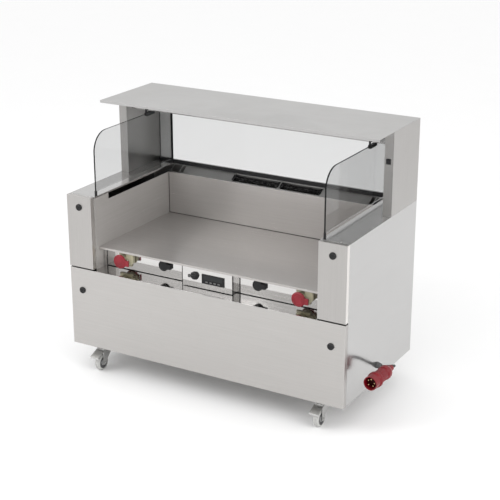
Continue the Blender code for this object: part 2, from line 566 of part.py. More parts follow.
def build_pedal(name, x, depth):
    """Brake pedal: sloping tread plate with two ears on the fork's cross pin."""
    pivot = Vector((x, back(depth - PEDAL_PIN[0]), PEDAL_PIN[1]))
    slope = Matrix.Translation(pivot) @ Matrix.Rotation(PEDAL_SLOPE, 4, "X") @ Matrix.Translation(-pivot)
    reach = (PEDAL_REACH + depth - PEDAL_PIN[0] - 0.002 * math.sin(PEDAL_SLOPE)) / math.cos(PEDAL_SLOPE)
    at = pivot.y - FRONT_Y

    def sloped(x_range, near, far, low, high):
        bm = bmesh.new()
        add_block(bm, x_range, (at + near, at + far), (pivot.z + low, pivot.z + high), slope)
        return bm

    pedal = keep(f"brake_pedal_{name}", sloped((x - 0.024, x + 0.024), -reach, -0.0115, -0.001, 0.002), "zinc",
                 pivot)
    tip = sloped((x - 0.024, x + 0.024), -reach, 0.004 - reach, -0.009, 0.002)
    ears = [sloped(sorted((x + sign * 0.0216, x + sign * 0.024)), -0.016, 0.006, -0.006, 0.002)
            for sign in SIDES.values()]
    boolean(pedal, "UNION", [tip, *ears])
    boolean(pedal, "DIFFERENCE", [rod(pivot, (1, 0, 0), 0.0033, 0.06, 20)])


# ---- supply lead ---------------------------------------------------------------------------
def build_lead():
    gland_at = (EXIT.x, back(EXIT.y), EXIT.z)
    profile = [(CABLE_R + GAP, -0.012), (0.010, -0.012), (0.010, 0.0003), (0.0155, 0.0003), (0.0155, 0.006),
               (0.013, 0.008), (0.0125, 0.016), (0.0095, 0.021), (CABLE_R + GAP, 0.022),
               (CABLE_R + GAP, -0.012)]
    keep("cable_gland", turned(profile, gland_at, (1, 0, 0), 36), "grey")

    path = lead_path()
    curve = bpy.data.curves.new("cable_path", "CURVE")
    curve.dimensions, curve.bevel_depth, curve.bevel_resolution = "3D", CABLE_R, 3
    curve.use_fill_caps = True
    spline = curve.splines.new("POLY")
    spline.points.add(len(path) - 1)
    for point, place in zip(spline.points, path):
        point.co = (*place, 1)
    curve.materials.append(MATERIALS["rubber"])
    cable = bpy.data.objects.new("supply_cable", curve)
    STATION.objects.link(cable)
    build_plug()


def lead_path():
    """Straight out of the gland, a quarter turn to the front while it rises, straight into the plug."""
    tail = PLUG_REAR - PLUG_AXIS * 0.030
    turn_x = tail.x - LEAD_BEND
    points = [Vector((HALF_W + x, EXIT.y, EXIT.z)) for x in (-0.015, 0.022)]
    start = points[-1].x
    straight, arc = turn_x - start, LEAD_BEND * math.pi / 2
    total = straight + arc + (EXIT.y - LEAD_BEND - PLUG_REAR.y)
    for index in range(1, LEAD_STEPS + 1):
        along = total * index / LEAD_STEPS
        t = along / total
        z = EXIT.z + (PLUG_REAR.z - EXIT.z) * t * t * (3 - 2 * t)
        if along <= straight:
            points.append(Vector((start + along, EXIT.y, z)))
        elif along <= straight + arc:
            angle = (along - straight) / LEAD_BEND
            points.append(Vector((turn_x + LEAD_BEND * math.sin(angle), EXIT.y - LEAD_BEND * (1 - math.cos(angle)),
                                  z)))
        else:
            share = (along - straight - arc) / (total - straight - arc)
            points.append(Vector((turn_x + LEAD_BEND, EXIT.y - LEAD_BEND, z)).lerp(PLUG_REAR, share))
    points.append(tail)
    return [Vector((point.x, back(point.y), point.z)) for point in points]


def build_plug():
    """Five-pin plug: open shroud with contact pins, collar, grip, rear cap and cable nut."""
    mouth = Vector((PLUG_MOUTH.x, back(PLUG_MOUTH.y), PLUG_MOUTH.z))
    axis = PLUG_AXIS
    side = axis.cross(Vector((0, 0, 1))).normalized()
    up = side.cross(axis)
    bore = CABLE_R + GAP
    profile = [(0, 0.034), (0.029, 0.034), (0.029, 0.0), (0.033, 0.0), (0.033, 0.038), (0.0365, 0.042),
               (0.0365, 0.058), (0.033, 0.062), (0.029, 0.072), (0.029, 0.124), (0.033, 0.130), (0.0335, 0.150),
               (0.029, 0.162), (0.018, 0.174), (0.0155, 0.176), (0.0145, PLUG_LENGTH - 0.002), (bore, PLUG_LENGTH),
               (bore, 0.160), (0, 0.160)]
    plug = keep("supply_plug", turned(profile, mouth, axis, 44), "red")
    pins = []
    for angle, radius in PLUG_PINS:
        turn = math.radians(angle)
        centre = mouth + axis * 0.0225 + (side * math.cos(turn) + up * math.sin(turn)) * 0.0165
        pins.append(rod(centre, axis, radius, 0.027, 14))
    boolean(plug, "UNION", pins)


def smooth_round_pieces():
    for obj in STATION.objects:
        if obj.type == "MESH":
            obj.data.shade_smooth()
            obj.data.set_sharp_from_angle(angle=math.radians(35))


build_cabinet()
build_niche()
build_front()
build_controls()
build_guard()
build_casters()
build_lead()
smooth_round_pieces()
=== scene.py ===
"""Looks of a mobile front-cooking station: stainless cabinet, extraction niche, glass guard and canopy."""

import logging
import math
from dataclasses import dataclass, field, replace
from enum import Enum
from functools import cache

import bmesh
import bpy
from mathutils import Matrix, Vector


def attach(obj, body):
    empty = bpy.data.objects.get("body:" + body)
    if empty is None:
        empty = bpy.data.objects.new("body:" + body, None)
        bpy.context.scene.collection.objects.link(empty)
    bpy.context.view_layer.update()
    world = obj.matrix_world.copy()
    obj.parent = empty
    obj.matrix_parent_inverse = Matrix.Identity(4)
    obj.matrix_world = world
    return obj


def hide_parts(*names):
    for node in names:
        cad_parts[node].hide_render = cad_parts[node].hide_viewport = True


LOG = logging.getLogger("front_cooking_station")
FRONT_Y = -0.364
ROOT = "cabinet"
SIDES: dict[str, int] = {"left": -1, "right": 1}
FORWARD = Vector((0, -1, 0))
UP = Vector((0, 0, 1))

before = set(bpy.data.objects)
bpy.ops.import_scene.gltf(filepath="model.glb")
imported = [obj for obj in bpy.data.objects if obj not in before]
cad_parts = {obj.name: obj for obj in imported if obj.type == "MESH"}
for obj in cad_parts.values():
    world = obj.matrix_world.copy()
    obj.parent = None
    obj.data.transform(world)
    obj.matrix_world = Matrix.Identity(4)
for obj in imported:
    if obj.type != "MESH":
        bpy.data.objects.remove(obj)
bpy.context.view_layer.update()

Triple = tuple[float, float, float]
Colour = Triple
Socket = bpy.types.NodeSocket
DAB_TONE = (0.36, 0.35, 0.33, 1.0)
# Pale steel blended onto edges: partly wear, partly painted highlight.
WORN_AND_HIGHLIT_STEEL = (0.80, 0.79, 0.78, 1.0)
DUST_ON_STEEL = (0.58, 0.56, 0.53, 1.0)
DUST_ON_PLASTIC = (0.42, 0.40, 0.37, 1.0)
WHEEL_GRIME = (0.16, 0.15, 0.14, 1.0)
FOIL_TONE = (0.008, 0.008, 0.009, 1.0)
WINDOW_TONE = (0.018, 0.020, 0.021, 1.0)
SPECK_TONE = (0.25, 0.25, 0.24, 1.0)
SOFTNESS = 0.0002


def back(depth: float) -> float:
    """Give the Y of a point lying this far behind the cabinet's front face."""
    return FRONT_Y + depth


def new_object(name: str, data: bpy.types.ID) -> bpy.types.Object:
    """Make an object of a mesh, curve, lamp or camera and put it in the scene."""
    made = bpy.data.objects.new(name, data)
    bpy.context.scene.collection.objects.link(made)
    return made


# --- Node building ---
class Tree:
    """Adds nodes to one node tree and joins them."""

    def __init__(self, tree: bpy.types.NodeTree) -> None:
        """Hold the node tree to work on.

        Args:
            tree: The tree of a material, a world or a node group.
        """
        self.tree = tree

    def feed(self, socket: Socket, value: "Socket | float | tuple[float, ...]") -> None:
        """Join a socket to another one, or set its value.

        Args:
            socket: The input that is fed.
            value: Another node's output, or a plain value.
        """
        if isinstance(value, bpy.types.NodeSocket):
            self.tree.links.new(value, socket)
        else:
            socket.default_value = value

    def wire(self, node: bpy.types.Node, inputs: "dict[str | int, object]") -> bpy.types.Node:
        """Feed several inputs of a node, by name or index, and give the node back."""
        for name, value in inputs.items():
            self.feed(node.inputs[name], value)
        return node

    def add(self, kind: str, inputs: "dict[str | int, object] | None" = None,
            **settings: object) -> bpy.types.Node:
        """Add a node.

        Args:
            kind: Blender's name of the node type.
            inputs: Values or outputs for its inputs, by name or index.
            settings: Properties of the node itself.

        Returns:
            The new node.
        """
        node = self.tree.nodes.new(kind)
        for name, value in settings.items():
            setattr(node, name, value)
        return self.wire(node, inputs or {})

    def math(self, operation: str, first: object, second: object = 0.0, clamp: bool = False) -> Socket:
        """Add a Math node and give its output."""
        node = self.add("ShaderNodeMath", {0: first, 1: second}, operation=operation, use_clamp=clamp)
        return node.outputs[0]

    def noise(self, vector: Socket, scale: object, detail: float = 4.0, roughness: float = 0.55) -> Socket:
        """Add a Noise Texture and give its factor."""
        node = self.add("ShaderNodeTexNoise", {"Vector": vector, "Scale": scale, "Detail": detail,
                                               "Roughness": roughness})
        return node.outputs["Fac"]

    def span(self, value: Socket, low: float, high: float, start: object = 0.0, end: object = 1.0) -> Socket:
        """Map a value between low and high to a span from start to end, clamped."""
        node = self.add("ShaderNodeMapRange", {"Value": value, "From Min": low, "From Max": high,
                                               "To Min": start, "To Max": end}, clamp=True)
        return node.outputs["Result"]

    def blend(self, factor: object, first: object, second: object, mode: str = "MIX") -> Socket:
        """Mix two colours and give the result."""
        node = self.add("ShaderNodeMix", {0: factor, 6: first, 7: second}, data_type="RGBA", blend_type=mode)
        return node.outputs[2]

    def own(self) -> Socket:
        """Give the piece's own coordinates."""
        return self.add("ShaderNodeTexCoord").outputs["Object"]

    def normal(self, output: str = "Normal") -> Socket:
        """Give the direction in which the surface faces."""
        return self.add("ShaderNodeNewGeometry").outputs[output]

    def place(self, stretch: Triple = (1, 1, 1), shift: Triple = (0, 0, 0)) -> Socket:
        """Give the piece's own coordinates, shifted and stretched."""
        node = self.add("ShaderNodeMapping", {"Vector": self.own(), "Location": shift, "Scale": stretch})
        return node.outputs["Vector"]

    def group(self, group: bpy.types.NodeTree, inputs: dict[str, object]) -> bpy.types.Node:
        """Place a shared node group with its own input values."""
        return self.add("ShaderNodeGroup", inputs, node_tree=group)


class SharedEffects:
    """Node groups that several finishes use, each built once."""

    @staticmethod
    def _start(name: str, inputs: dict[str, tuple[str, object]],
               outputs: dict[str, str]) -> tuple[Tree, bpy.types.Node, bpy.types.Node]:
        """Make an empty group with its sockets.

        Args:
            name: The group's name.
            inputs: Socket type and first value of each input.
            outputs: Socket type of each output.

        Returns:
            The tree, its input node and its output node.
        """
        group = bpy.data.node_groups.new(name, "ShaderNodeTree")
        for label, (kind, value) in inputs.items():
            group.interface.new_socket(label, in_out="INPUT", socket_type=kind).default_value = value
        for label, kind in outputs.items():
            group.interface.new_socket(label, in_out="OUTPUT", socket_type=kind)
        tree = Tree(group)
        return tree, tree.add("NodeGroupInput"), tree.add("NodeGroupOutput")

    @staticmethod
    @cache
    def brushed_grain() -> bpy.types.NodeTree:
        """Give the group for ground sheet metal: long fine scratches and slow waves in the sheet."""
        tree, source, target = SharedEffects._start(
            "brushed_grain", {"Vector": ("NodeSocketVector", (0, 0, 0)), "Depth": ("NodeSocketFloat", 0.1),
                   "Waviness": ("NodeSocketFloat", 0.05), "Base Normal": ("NodeSocketVector", (0, 0, 0))},
            {"Grain": "NodeSocketFloat", "Normal": "NodeSocketVector"})
        fine = tree.noise(source.outputs["Vector"], 1.0, 6.0, 0.7)
        coarse = tree.noise(source.outputs["Vector"], 0.22, 3.0, 0.6)
        grain = tree.math("ADD", tree.math("MULTIPLY", fine, 0.7), tree.math("MULTIPLY", coarse, 0.3))
        plain = tree.own()
        waves = tree.noise(plain, 2.2, 1.0, 0.4)
        soft = tree.add("ShaderNodeBump", {"Strength": source.outputs["Waviness"], "Distance": 0.02,
                                           "Height": waves, "Normal": source.outputs["Base Normal"]})
        sharp = tree.add("ShaderNodeBump", {"Strength": source.outputs["Depth"], "Distance": 0.0004,
                                            "Height": grain, "Normal": soft.outputs["Normal"]})
        tree.wire(target, {"Grain": grain, "Normal": sharp.outputs["Normal"]})
        return tree.tree

    @staticmethod
    @cache
    def handling() -> bpy.types.NodeTree:
        """Give the group for wiped metal and plastic: broad smears, small dabs and fine specks."""
        tree, source, target = SharedEffects._start(
            "handling", {"Scale": ("NodeSocketFloat", 1.0)},
            {"Smear": "NodeSocketFloat", "Dabs": "NodeSocketFloat", "Specks": "NodeSocketFloat"})
        plain = tree.own()
        scale = source.outputs["Scale"]
        warp = tree.add("ShaderNodeTexNoise", {"Vector": plain, "Scale": tree.math("MULTIPLY", scale, 3.0),
                                               "Detail": 2.0}).outputs["Color"]
        bent = tree.add("ShaderNodeVectorMath", {0: plain, 1: warp}, operation="ADD").outputs[0]
        smear = tree.span(tree.noise(bent, tree.math("MULTIPLY", scale, 1.6), 5.0, 0.6), 0.35, 0.70)
        dabs = tree.span(tree.noise(bent, tree.math("MULTIPLY", scale, 9.0), 6.0, 0.7), 0.58, 0.74)
        specks = tree.span(tree.noise(plain, tree.math("MULTIPLY", scale, 260.0), 2.0, 0.5), 0.66, 0.78)
        tree.wire(target, {"Smear": smear, "Dabs": dabs, "Specks": specks})
        return tree.tree

    @staticmethod
    @cache
    def soft_edges() -> bpy.types.NodeTree:
        """Give the group for slightly rounded edges, with a mask that mixes edge wear with a painted
        highlight.
        """
        tree, source, target = SharedEffects._start(
            "soft_edges", {"Radius": ("NodeSocketFloat", 0.0008)},
            {"Wear And Highlight": "NodeSocketFloat", "Normal": "NodeSocketVector"})
        rounded = tree.add("ShaderNodeBevel", {"Radius": source.outputs["Radius"]}, samples=4)
        match = tree.add("ShaderNodeVectorMath", {0: rounded.outputs["Normal"], 1: tree.normal()},
                         operation="DOT_PRODUCT")
        edge = tree.span(match.outputs["Value"], 0.999, 0.90)
        plain = tree.own()
        broken = tree.span(tree.noise(plain, 60.0, 4.0, 0.65), 0.35, 0.65)
        tree.wire(target, {"Wear And Highlight": tree.math("MULTIPLY", edge, broken), "Normal": rounded.outputs["Normal"]})
        return tree.tree

    @staticmethod
    @cache
    def settled_dust() -> bpy.types.NodeTree:
        """Give the group for light dust that lies on faces looking up."""
        tree, source, target = SharedEffects._start(
            "settled_dust", {"Amount": ("NodeSocketFloat", 0.3)}, {"Dust": "NodeSocketFloat"})
        height = tree.add("ShaderNodeSeparateXYZ", {"Vector": tree.normal()}).outputs["Z"]
        plain = tree.own()
        patch = tree.span(tree.noise(plain, 7.0, 6.0, 0.7), 0.42, 0.75)
        lying = tree.math("MULTIPLY", tree.span(height, 0.3, 0.95), patch)
        tree.feed(target.inputs["Dust"], tree.math("MULTIPLY", lying, source.outputs["Amount"]))
        return tree.tree

    @staticmethod
    @cache
    def painted_facing_light() -> bpy.types.NodeTree:
        """Give the group that paints light and shade onto a sheet by the direction its faces look along X, Y
        and Z.
        """
        tree, source, target = SharedEffects._start(
            "painted_facing_light", {"Tones": ("NodeSocketVector", (1, 1, 1))}, {"Tone": "NodeSocketFloat"})
        normal = tree.normal("True Normal")
        squared = tree.add("ShaderNodeVectorMath", {0: normal, 1: normal}, operation="MULTIPLY").outputs[0]
        share = tree.add("ShaderNodeVectorMath", {0: squared, 1: source.outputs["Tones"]},
                         operation="DOT_PRODUCT").outputs["Value"]
        tree.feed(target.inputs["Tone"], share)
        return tree.tree


# --- Finishes ---
class Grain(Enum):
    """Direction in which a sheet was ground, as the stretch of its scratch pattern."""

    ALONG_X = (6.0, 900.0, 900.0)
    ALONG_Y = (900.0, 6.0, 900.0)
    ALONG_Z = (900.0, 900.0, 6.0)
    NONE = (420.0, 420.0, 420.0)


def new_material(name: str, view: Colour) -> tuple[bpy.types.Material, Tree, bpy.types.Node]:
    """Make a material holding one Principled shader.

    Args:
        name: The material's name.
        view: Colour shown in the viewport.

    Returns:
        The material, its tree and its shader.
    """
    material = bpy.data.materials.new(name)
    material.use_nodes = True
    material.diffuse_color = (*view, 1.0)
    tree = Tree(material.node_tree)
    return material, tree, material.node_tree.nodes["Principled BSDF"]


@dataclass(frozen=True)
class SheetFinish:
    """Stainless sheet: base tone, polish, direction of its grain, how much it was handled, and light and
    shade painted by the direction its faces look.
    """

    name: str
    colour: Colour
    roughness: float
    grain: Grain
    depth: float = 0.10
    waviness: float = 0.03
    smears: float = 0.10
    dust: float = 0.10
    metal: float = 1.0
    facing_light_and_shade: Triple = (1.0, 1.0, 1.0)

    def make(self) -> bpy.types.Material:
        """Build the material."""
        material, tree, shader = new_material(self.name, self.colour)
        edges = tree.group(SharedEffects.soft_edges(), {"Radius": 0.0009})
        grain = tree.group(SharedEffects.brushed_grain(), {"Vector": tree.place(self.grain.value),
                                                           "Depth": self.depth, "Waviness": self.waviness,
                                                           "Base Normal": edges.outputs["Normal"]})
        marks = tree.group(SharedEffects.handling(), {"Scale": 1.0})
        dust = tree.group(SharedEffects.settled_dust(), {"Amount": self.dust})
        dark = tuple(0.90 * c for c in self.colour) + (1.0,)
        light = tuple(min(1.0, 1.07 * c) for c in self.colour) + (1.0,)
        base = tree.blend(tree.span(grain.outputs["Grain"], 0.3, 0.7), dark, light)
        base = tree.blend(tree.math("MULTIPLY", marks.outputs["Dabs"], 0.10), base, DAB_TONE)
        # Edges turn paler: worn metal mixed with a painted highlight.
        base = tree.blend(tree.math("MULTIPLY", edges.outputs["Wear And Highlight"], 0.45), base, WORN_AND_HIGHLIT_STEEL)
        base = tree.blend(dust.outputs["Dust"], base, DUST_ON_STEEL)
        # Painted light and shade: the base colour is scaled by the direction each face looks.
        tone = tree.group(SharedEffects.painted_facing_light(), {"Tones": self.facing_light_and_shade})
        base = tree.blend(1.0, base, tone.outputs["Tone"], "MULTIPLY")
        rough = tree.math("ADD", self.roughness,
                          tree.math("MULTIPLY", tree.math("SUBTRACT", grain.outputs["Grain"], 0.5), 0.22))
        rough = tree.math("ADD", rough, tree.math("MULTIPLY", marks.outputs["Smear"], self.smears))
        rough = tree.math("ADD", rough, tree.math("MULTIPLY", dust.outputs["Dust"], 0.35), clamp=True)
        metal = tree.span(dust.outputs["Dust"], 0.0, 1.0, self.metal, 0.4 * self.metal)
        tree.wire(shader, {"Base Color": base, "Roughness": rough, "Metallic": metal,
                           "Normal": grain.outputs["Normal"]})
        return material


@dataclass(frozen=True)
class PlasticFinish:
    """Moulded plastic or rubber: tone, gloss, fineness of the moulded texture, edges lightened by rubbing and
    by a painted highlight, and dust.
    """

    name: str
    colour: Colour
    roughness: float
    texture_scale: float = 900.0
    texture_depth: float = 0.15
    edge_wear_and_highlight: Colour = (0.20, 0.20, 0.20)
    edge_marks: float = 0.5
    dust: float = 0.18
    coat: float = 0.0
    shine: float = 0.5

    def make(self) -> bpy.types.Material:
        """Build the material."""
        material, tree, shader = new_material(self.name, self.colour)
        edges = tree.group(SharedEffects.soft_edges(), {"Radius": 0.0006})
        marks = tree.group(SharedEffects.handling(), {"Scale": 4.0})
        dust = tree.group(SharedEffects.settled_dust(), {"Amount": self.dust})
        cells = tree.noise(tree.place(), self.texture_scale, 3.0, 0.6)
        flow = tree.noise(tree.place(), 22.0, 3.0, 0.5)
        shade = tuple(0.80 * c for c in self.colour) + (1.0,)
        glow = tuple(min(1.0, 1.18 * c) for c in self.colour) + (1.0,)
        base = tree.blend(tree.span(flow, 0.3, 0.7), shade, glow)
        # Edges take the lighter rubbed colour: wear mixed with a painted highlight.
        worn_and_highlit = tree.math("MULTIPLY", edges.outputs["Wear And Highlight"], self.edge_marks)
        base = tree.blend(worn_and_highlit, base, (*self.edge_wear_and_highlight, 1.0))
        base = tree.blend(dust.outputs["Dust"], base, DUST_ON_PLASTIC)
        rough = tree.math("ADD", self.roughness, tree.math("MULTIPLY", marks.outputs["Smear"], 0.12))
        rough = tree.math("SUBTRACT", rough, tree.math("MULTIPLY", edges.outputs["Wear And Highlight"], 0.12))
        rough = tree.math("ADD", rough, tree.math("MULTIPLY", dust.outputs["Dust"], 0.4), clamp=True)
        bump = tree.add("ShaderNodeBump", {"Strength": self.texture_depth, "Distance": 0.0003,
                                           "Height": cells, "Normal": edges.outputs["Normal"]})
        tree.wire(shader, {"Base Color": base, "Roughness": rough, "Normal": bump.outputs["Normal"]})
        shader.inputs["Specular IOR Level"].default_value = self.shine
        shader.inputs["Coat Weight"].default_value = self.coat
        shader.inputs["Coat Roughness"].default_value = 0.12
        return material


@dataclass(frozen=True)
class GlassFinish:
    """Clear pane whose edge faces are painted dark, a painted shade for the dark look of a glass edge: the
    edge faces are those that do not look along the pane's axis.
    """

    name: str
    faces_axis: str
    tint: Colour = (0.74, 0.742, 0.742)
    edge: Colour = (0.006, 0.007, 0.007)
    bend: float = 1.18
    edge_shadow: Colour = (0.25, 0.28, 0.27)
    pane_shadow: Colour = (0.95, 0.97, 0.965)

    def make(self) -> bpy.types.Material:
        """Build the material."""
        material, tree, shader = new_material(self.name, self.tint)
        part = tree.add("ShaderNodeSeparateXYZ", {"Vector": tree.normal()}).outputs[self.faces_axis]
        pane = tree.span(tree.math("ABSOLUTE", part), 0.55, 0.75)
        marks = tree.group(SharedEffects.handling(), {"Scale": 2.0})
        # Painted shade: edge faces take the dark edge colour.
        base = tree.blend(pane, (*self.edge, 1.0), (*self.tint, 1.0))
        rough = tree.span(pane, 0.0, 1.0, 0.22, 0.0)
        rough = tree.math("ADD", rough, tree.math("MULTIPLY", marks.outputs["Dabs"], 0.03))
        tree.wire(shader, {"Base Color": base, "Roughness": rough})
        shader.inputs["Transmission Weight"].default_value = 1.0
        shader.inputs["IOR"].default_value = self.bend
        clear = tree.add("ShaderNodeBsdfTransparent")
        tree.feed(clear.inputs["Color"], tree.blend(pane, (*self.edge_shadow, 1.0), (*self.pane_shadow, 1.0)))
        rays = tree.add("ShaderNodeLightPath").outputs["Is Shadow Ray"]
        mix = tree.add("ShaderNodeMixShader", {0: rays, 1: shader.outputs["BSDF"], 2: clear.outputs["BSDF"]})
        tree.feed(material.node_tree.nodes["Material Output"].inputs["Surface"], mix.outputs[0])
        return material


@dataclass(frozen=True)
class WheelFinish:
    """Caster wheel about its axle: pale tread, dark disc, a paler hub."""

    name: str
    axle: Triple
    tread: Colour = (0.50, 0.50, 0.485)
    disc: Colour = (0.075, 0.075, 0.078)
    hub: Colour = (0.30, 0.30, 0.30)
    disc_radius: float = 0.0302
    hub_radius: float = 0.0160

    def make(self) -> bpy.types.Material:
        """Build the material."""
        material, tree, shader = new_material(self.name, self.tread)
        local = tree.place((1, 1, 1), tuple(-c for c in self.axle))
        flat = tree.add("ShaderNodeVectorMath", {0: local, 1: (0.0, 1.0, 1.0)}, operation="MULTIPLY")
        radius = tree.add("ShaderNodeVectorMath", {0: flat.outputs[0]}, operation="LENGTH").outputs["Value"]
        inside = tree.span(radius, self.disc_radius + SOFTNESS, self.disc_radius - SOFTNESS)
        core = tree.span(radius, self.hub_radius + SOFTNESS, self.hub_radius - SOFTNESS)
        base = tree.blend(inside, (*self.tread, 1.0), (*self.disc, 1.0))
        base = tree.blend(core, base, (*self.hub, 1.0))
        grime = tree.span(tree.noise(tree.place(), 120.0, 6.0, 0.7), 0.42, 0.72)
        rolled = tree.math("MULTIPLY", tree.span(radius, 0.0380, 0.0398), grime)
        base = tree.blend(tree.math("MULTIPLY", rolled, 0.5), base, WHEEL_GRIME)
        edges = tree.group(SharedEffects.soft_edges(), {"Radius": 0.0008})
        cells = tree.noise(tree.place(), 700.0, 3.0, 0.6)
        bump = tree.add("ShaderNodeBump", {"Strength": 0.2, "Distance": 0.0003, "Height": cells,
                                           "Normal": edges.outputs["Normal"]})
        rough = tree.math("ADD", 0.45, tree.math("MULTIPLY", grime, 0.25))
        tree.wire(shader, {"Base Color": base, "Roughness": rough, "Normal": bump.outputs["Normal"]})
        return material


@dataclass(frozen=True)
class ScreenFinish:
    """Dark gloss foil of the display, with a window that is a shade lighter."""

    name: str
    window: tuple[float, float, float, float]
    fade: float = 0.0003

    def make(self) -> bpy.types.Material:
        """Build the material."""
        material, tree, shader = new_material(self.name, (0.02, 0.02, 0.02))
        split = tree.add("ShaderNodeSeparateXYZ", {"Vector": tree.place()})
        x0, x1, z0, z1 = self.window
        inside: object = 1.0
        for axis, low, high in (("X", x0, x1), ("Z", z0, z1)):
            for start, end in ((low - self.fade, low), (high, high - self.fade)):
                inside = tree.math("MULTIPLY", inside, tree.span(split.outputs[axis], start, end))
        marks = tree.group(SharedEffects.handling(), {"Scale": 8.0})
        base = tree.blend(inside, FOIL_TONE, WINDOW_TONE)
        base = tree.blend(tree.math("MULTIPLY", marks.outputs["Specks"], 0.25), base, SPECK_TONE)
        rough = tree.math("ADD", 0.08, tree.math("MULTIPLY", marks.outputs["Smear"], 0.16))
        edges = tree.group(SharedEffects.soft_edges(), {"Radius": 0.0006})
        tree.wire(shader, {"Base Color": base, "Roughness": rough, "Normal": edges.outputs["Normal"]})
        shader.inputs["Specular IOR Level"].default_value = 0.25
        return material


@dataclass(frozen=True)
class FloorFinish:
    """Plain pale floor."""

    name: str = "pale_floor"
    colour: Colour = (0.97, 0.97, 0.97)

    def make(self) -> bpy.types.Material:
        """Build the material."""
        material, tree, shader = new_material(self.name, self.colour)
        mottle = tree.noise(tree.place(), 3.0, 4.0, 0.5)
        low = tuple(0.985 * c for c in self.colour) + (1.0,)
        tree.wire(shader, {"Base Color": tree.blend(mottle, low, (*self.colour, 1.0)),
                           "Roughness": tree.span(mottle, 0.2, 0.8, 0.75, 0.9)})
        return material


class Wardrobe:
    """Keeps one material for each finish and dresses pieces with it."""

    def __init__(self) -> None:
        """Start with no materials made."""
        self._made: dict[str, bpy.types.Material] = {}

    def material(self, finish: object) -> bpy.types.Material:
        """Give the material of a finish, made on first use."""
        if finish.name not in self._made:
            self._made[finish.name] = finish.make()
        return self._made[finish.name]

    def dress(self, finish: object, *nodes: str) -> None:
        """Give CAD nodes a finish.

        Args:
            finish: The finish.
            nodes: Names of the CAD nodes.
        """
        for node in nodes:
            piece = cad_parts[node]
            piece.data.materials.clear()
            piece.data.materials.append(self.material(finish))
            LOG.info("dressed %s in %s", node, finish.name)


# --- Small modelling kit ---
@dataclass
class Workshop:
    """Turns finished bmeshes into pieces that ride on a CAD body."""

    wardrobe: Wardrobe

    def deliver(self, name: str, bm: bmesh.types.BMesh, finish: object, body: str, slot: str,
                smooth: float = 35.0) -> bpy.types.Object:
        """Make a piece of a bmesh drawn in its place.

        Args:
            name: The piece's name.
            bm: The shape, which is used up.
            finish: Its finish.
            body: The CAD body it rides on.
            slot: The record's material slot it belongs to; not used.
            smooth: Angle in degrees below which shading is smooth.

        Returns:
            The new piece.
        """
        bmesh.ops.remove_doubles(bm, verts=bm.verts, dist=1e-6)
        bmesh.ops.recalc_face_normals(bm, faces=bm.faces)
        mesh = bpy.data.meshes.new(name)
        bm.to_mesh(mesh)
        bm.free()
        mesh.materials.append(self.wardrobe.material(finish))
        mesh.shade_smooth()
        mesh.set_sharp_from_angle(angle=math.radians(smooth))
        piece = new_object(name, mesh)
        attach(piece, body)
        LOG.info("built %s", name)
        return piece

    @staticmethod
    def towards(axis: Vector) -> Matrix:
        """Give the turn that brings +Z onto an axis."""
        return UP.rotation_difference(Vector(axis)).to_matrix().to_4x4()

    @staticmethod
    def add_ring(bm: bmesh.types.BMesh, centre: Vector, axis: Vector, profile: list[tuple[float, float]],
                 steps: int = 40) -> None:
        """Spin an open or closed profile round an axis.

        Args:
            bm: The bmesh that takes the shape.
            centre: Where the profile's zero height lies.
            axis: Axis of the spin.
            profile: Corners as (radius, height).
            steps: Number of steps in the full turn.
        """
        verts = [bm.verts.new((radius, 0.0, height)) for radius, height in profile]
        edges = [bm.edges.new(pair) for pair in zip(verts, verts[1:])]
        before = set(bm.verts) - set(verts)
        bmesh.ops.spin(bm, geom=verts + edges, cent=(0, 0, 0), axis=(0, 0, 1), dvec=(0, 0, 0), angle=math.tau,
                       steps=steps, use_merge=True, use_duplicate=False)
        made = [v for v in bm.verts if v not in before]
        bmesh.ops.transform(bm, matrix=Matrix.Translation(centre) @ Workshop.towards(axis), verts=made)

    @staticmethod
    def ring_profile(inner: float, outer: float, low: float, high: float,
                     slope: float) -> list[tuple[float, float]]:
        """Give the closed profile of a flat ring whose sides lean in by the slope."""
        return [(inner, low), (outer, low), (outer - slope, high), (inner + slope, high), (inner, low)]

    @staticmethod
    def round_edges(bm: bmesh.types.BMesh, verts: list[bmesh.types.BMVert], radius: float,
                    segments: int = 2) -> None:
        """Round every edge that meets the given corners."""
        edges = list({edge for vert in verts for edge in vert.link_edges})
        bmesh.ops.bevel(bm, geom=edges, offset=radius, segments=segments, profile=0.5, affect="EDGES",
                        material=-1)

    @staticmethod
    def add_block(bm: bmesh.types.BMesh, low: Triple, high: Triple,
                  radius: float = 0.0, segments: int = 2) -> None:
        """Add a cuboid with rounded edges.

        Args:
            bm: The bmesh that takes the shape.
            low: Its lowest corner.
            high: Its highest corner.
            radius: Radius of its edges.
            segments: Segments of each rounded edge.
        """
        low_corner, high_corner = Vector(low), Vector(high)
        size = high_corner - low_corner
        place = Matrix.Translation((low_corner + high_corner) / 2) @ Matrix.Diagonal((*size, 1.0))
        made = bmesh.ops.create_cube(bm, size=1.0, matrix=place)["verts"]
        if radius > 0:
            Workshop.round_edges(bm, made, radius, segments)

    @staticmethod
    def add_screw(bm: bmesh.types.BMesh, centre: Vector, axis: Vector, radius: float, height: float) -> None:
        """Add a domed screw head with a round recess.

        Args:
            bm: The bmesh that takes the shape.
            centre: Where the head meets its face.
            axis: Direction in which the head stands.
            radius: Radius of the head.
            height: Height of the head.
        """
        key = radius * 0.45
        profile = [(0.0, 0.0), (radius, 0.0), (radius, height * 0.45), (radius * 0.88, height * 0.85),
                   (radius * 0.6, height), (key, height), (key * 0.96, height * 0.25), (0.0, height * 0.25)]
        Workshop.add_ring(bm, centre, axis, profile, 24)


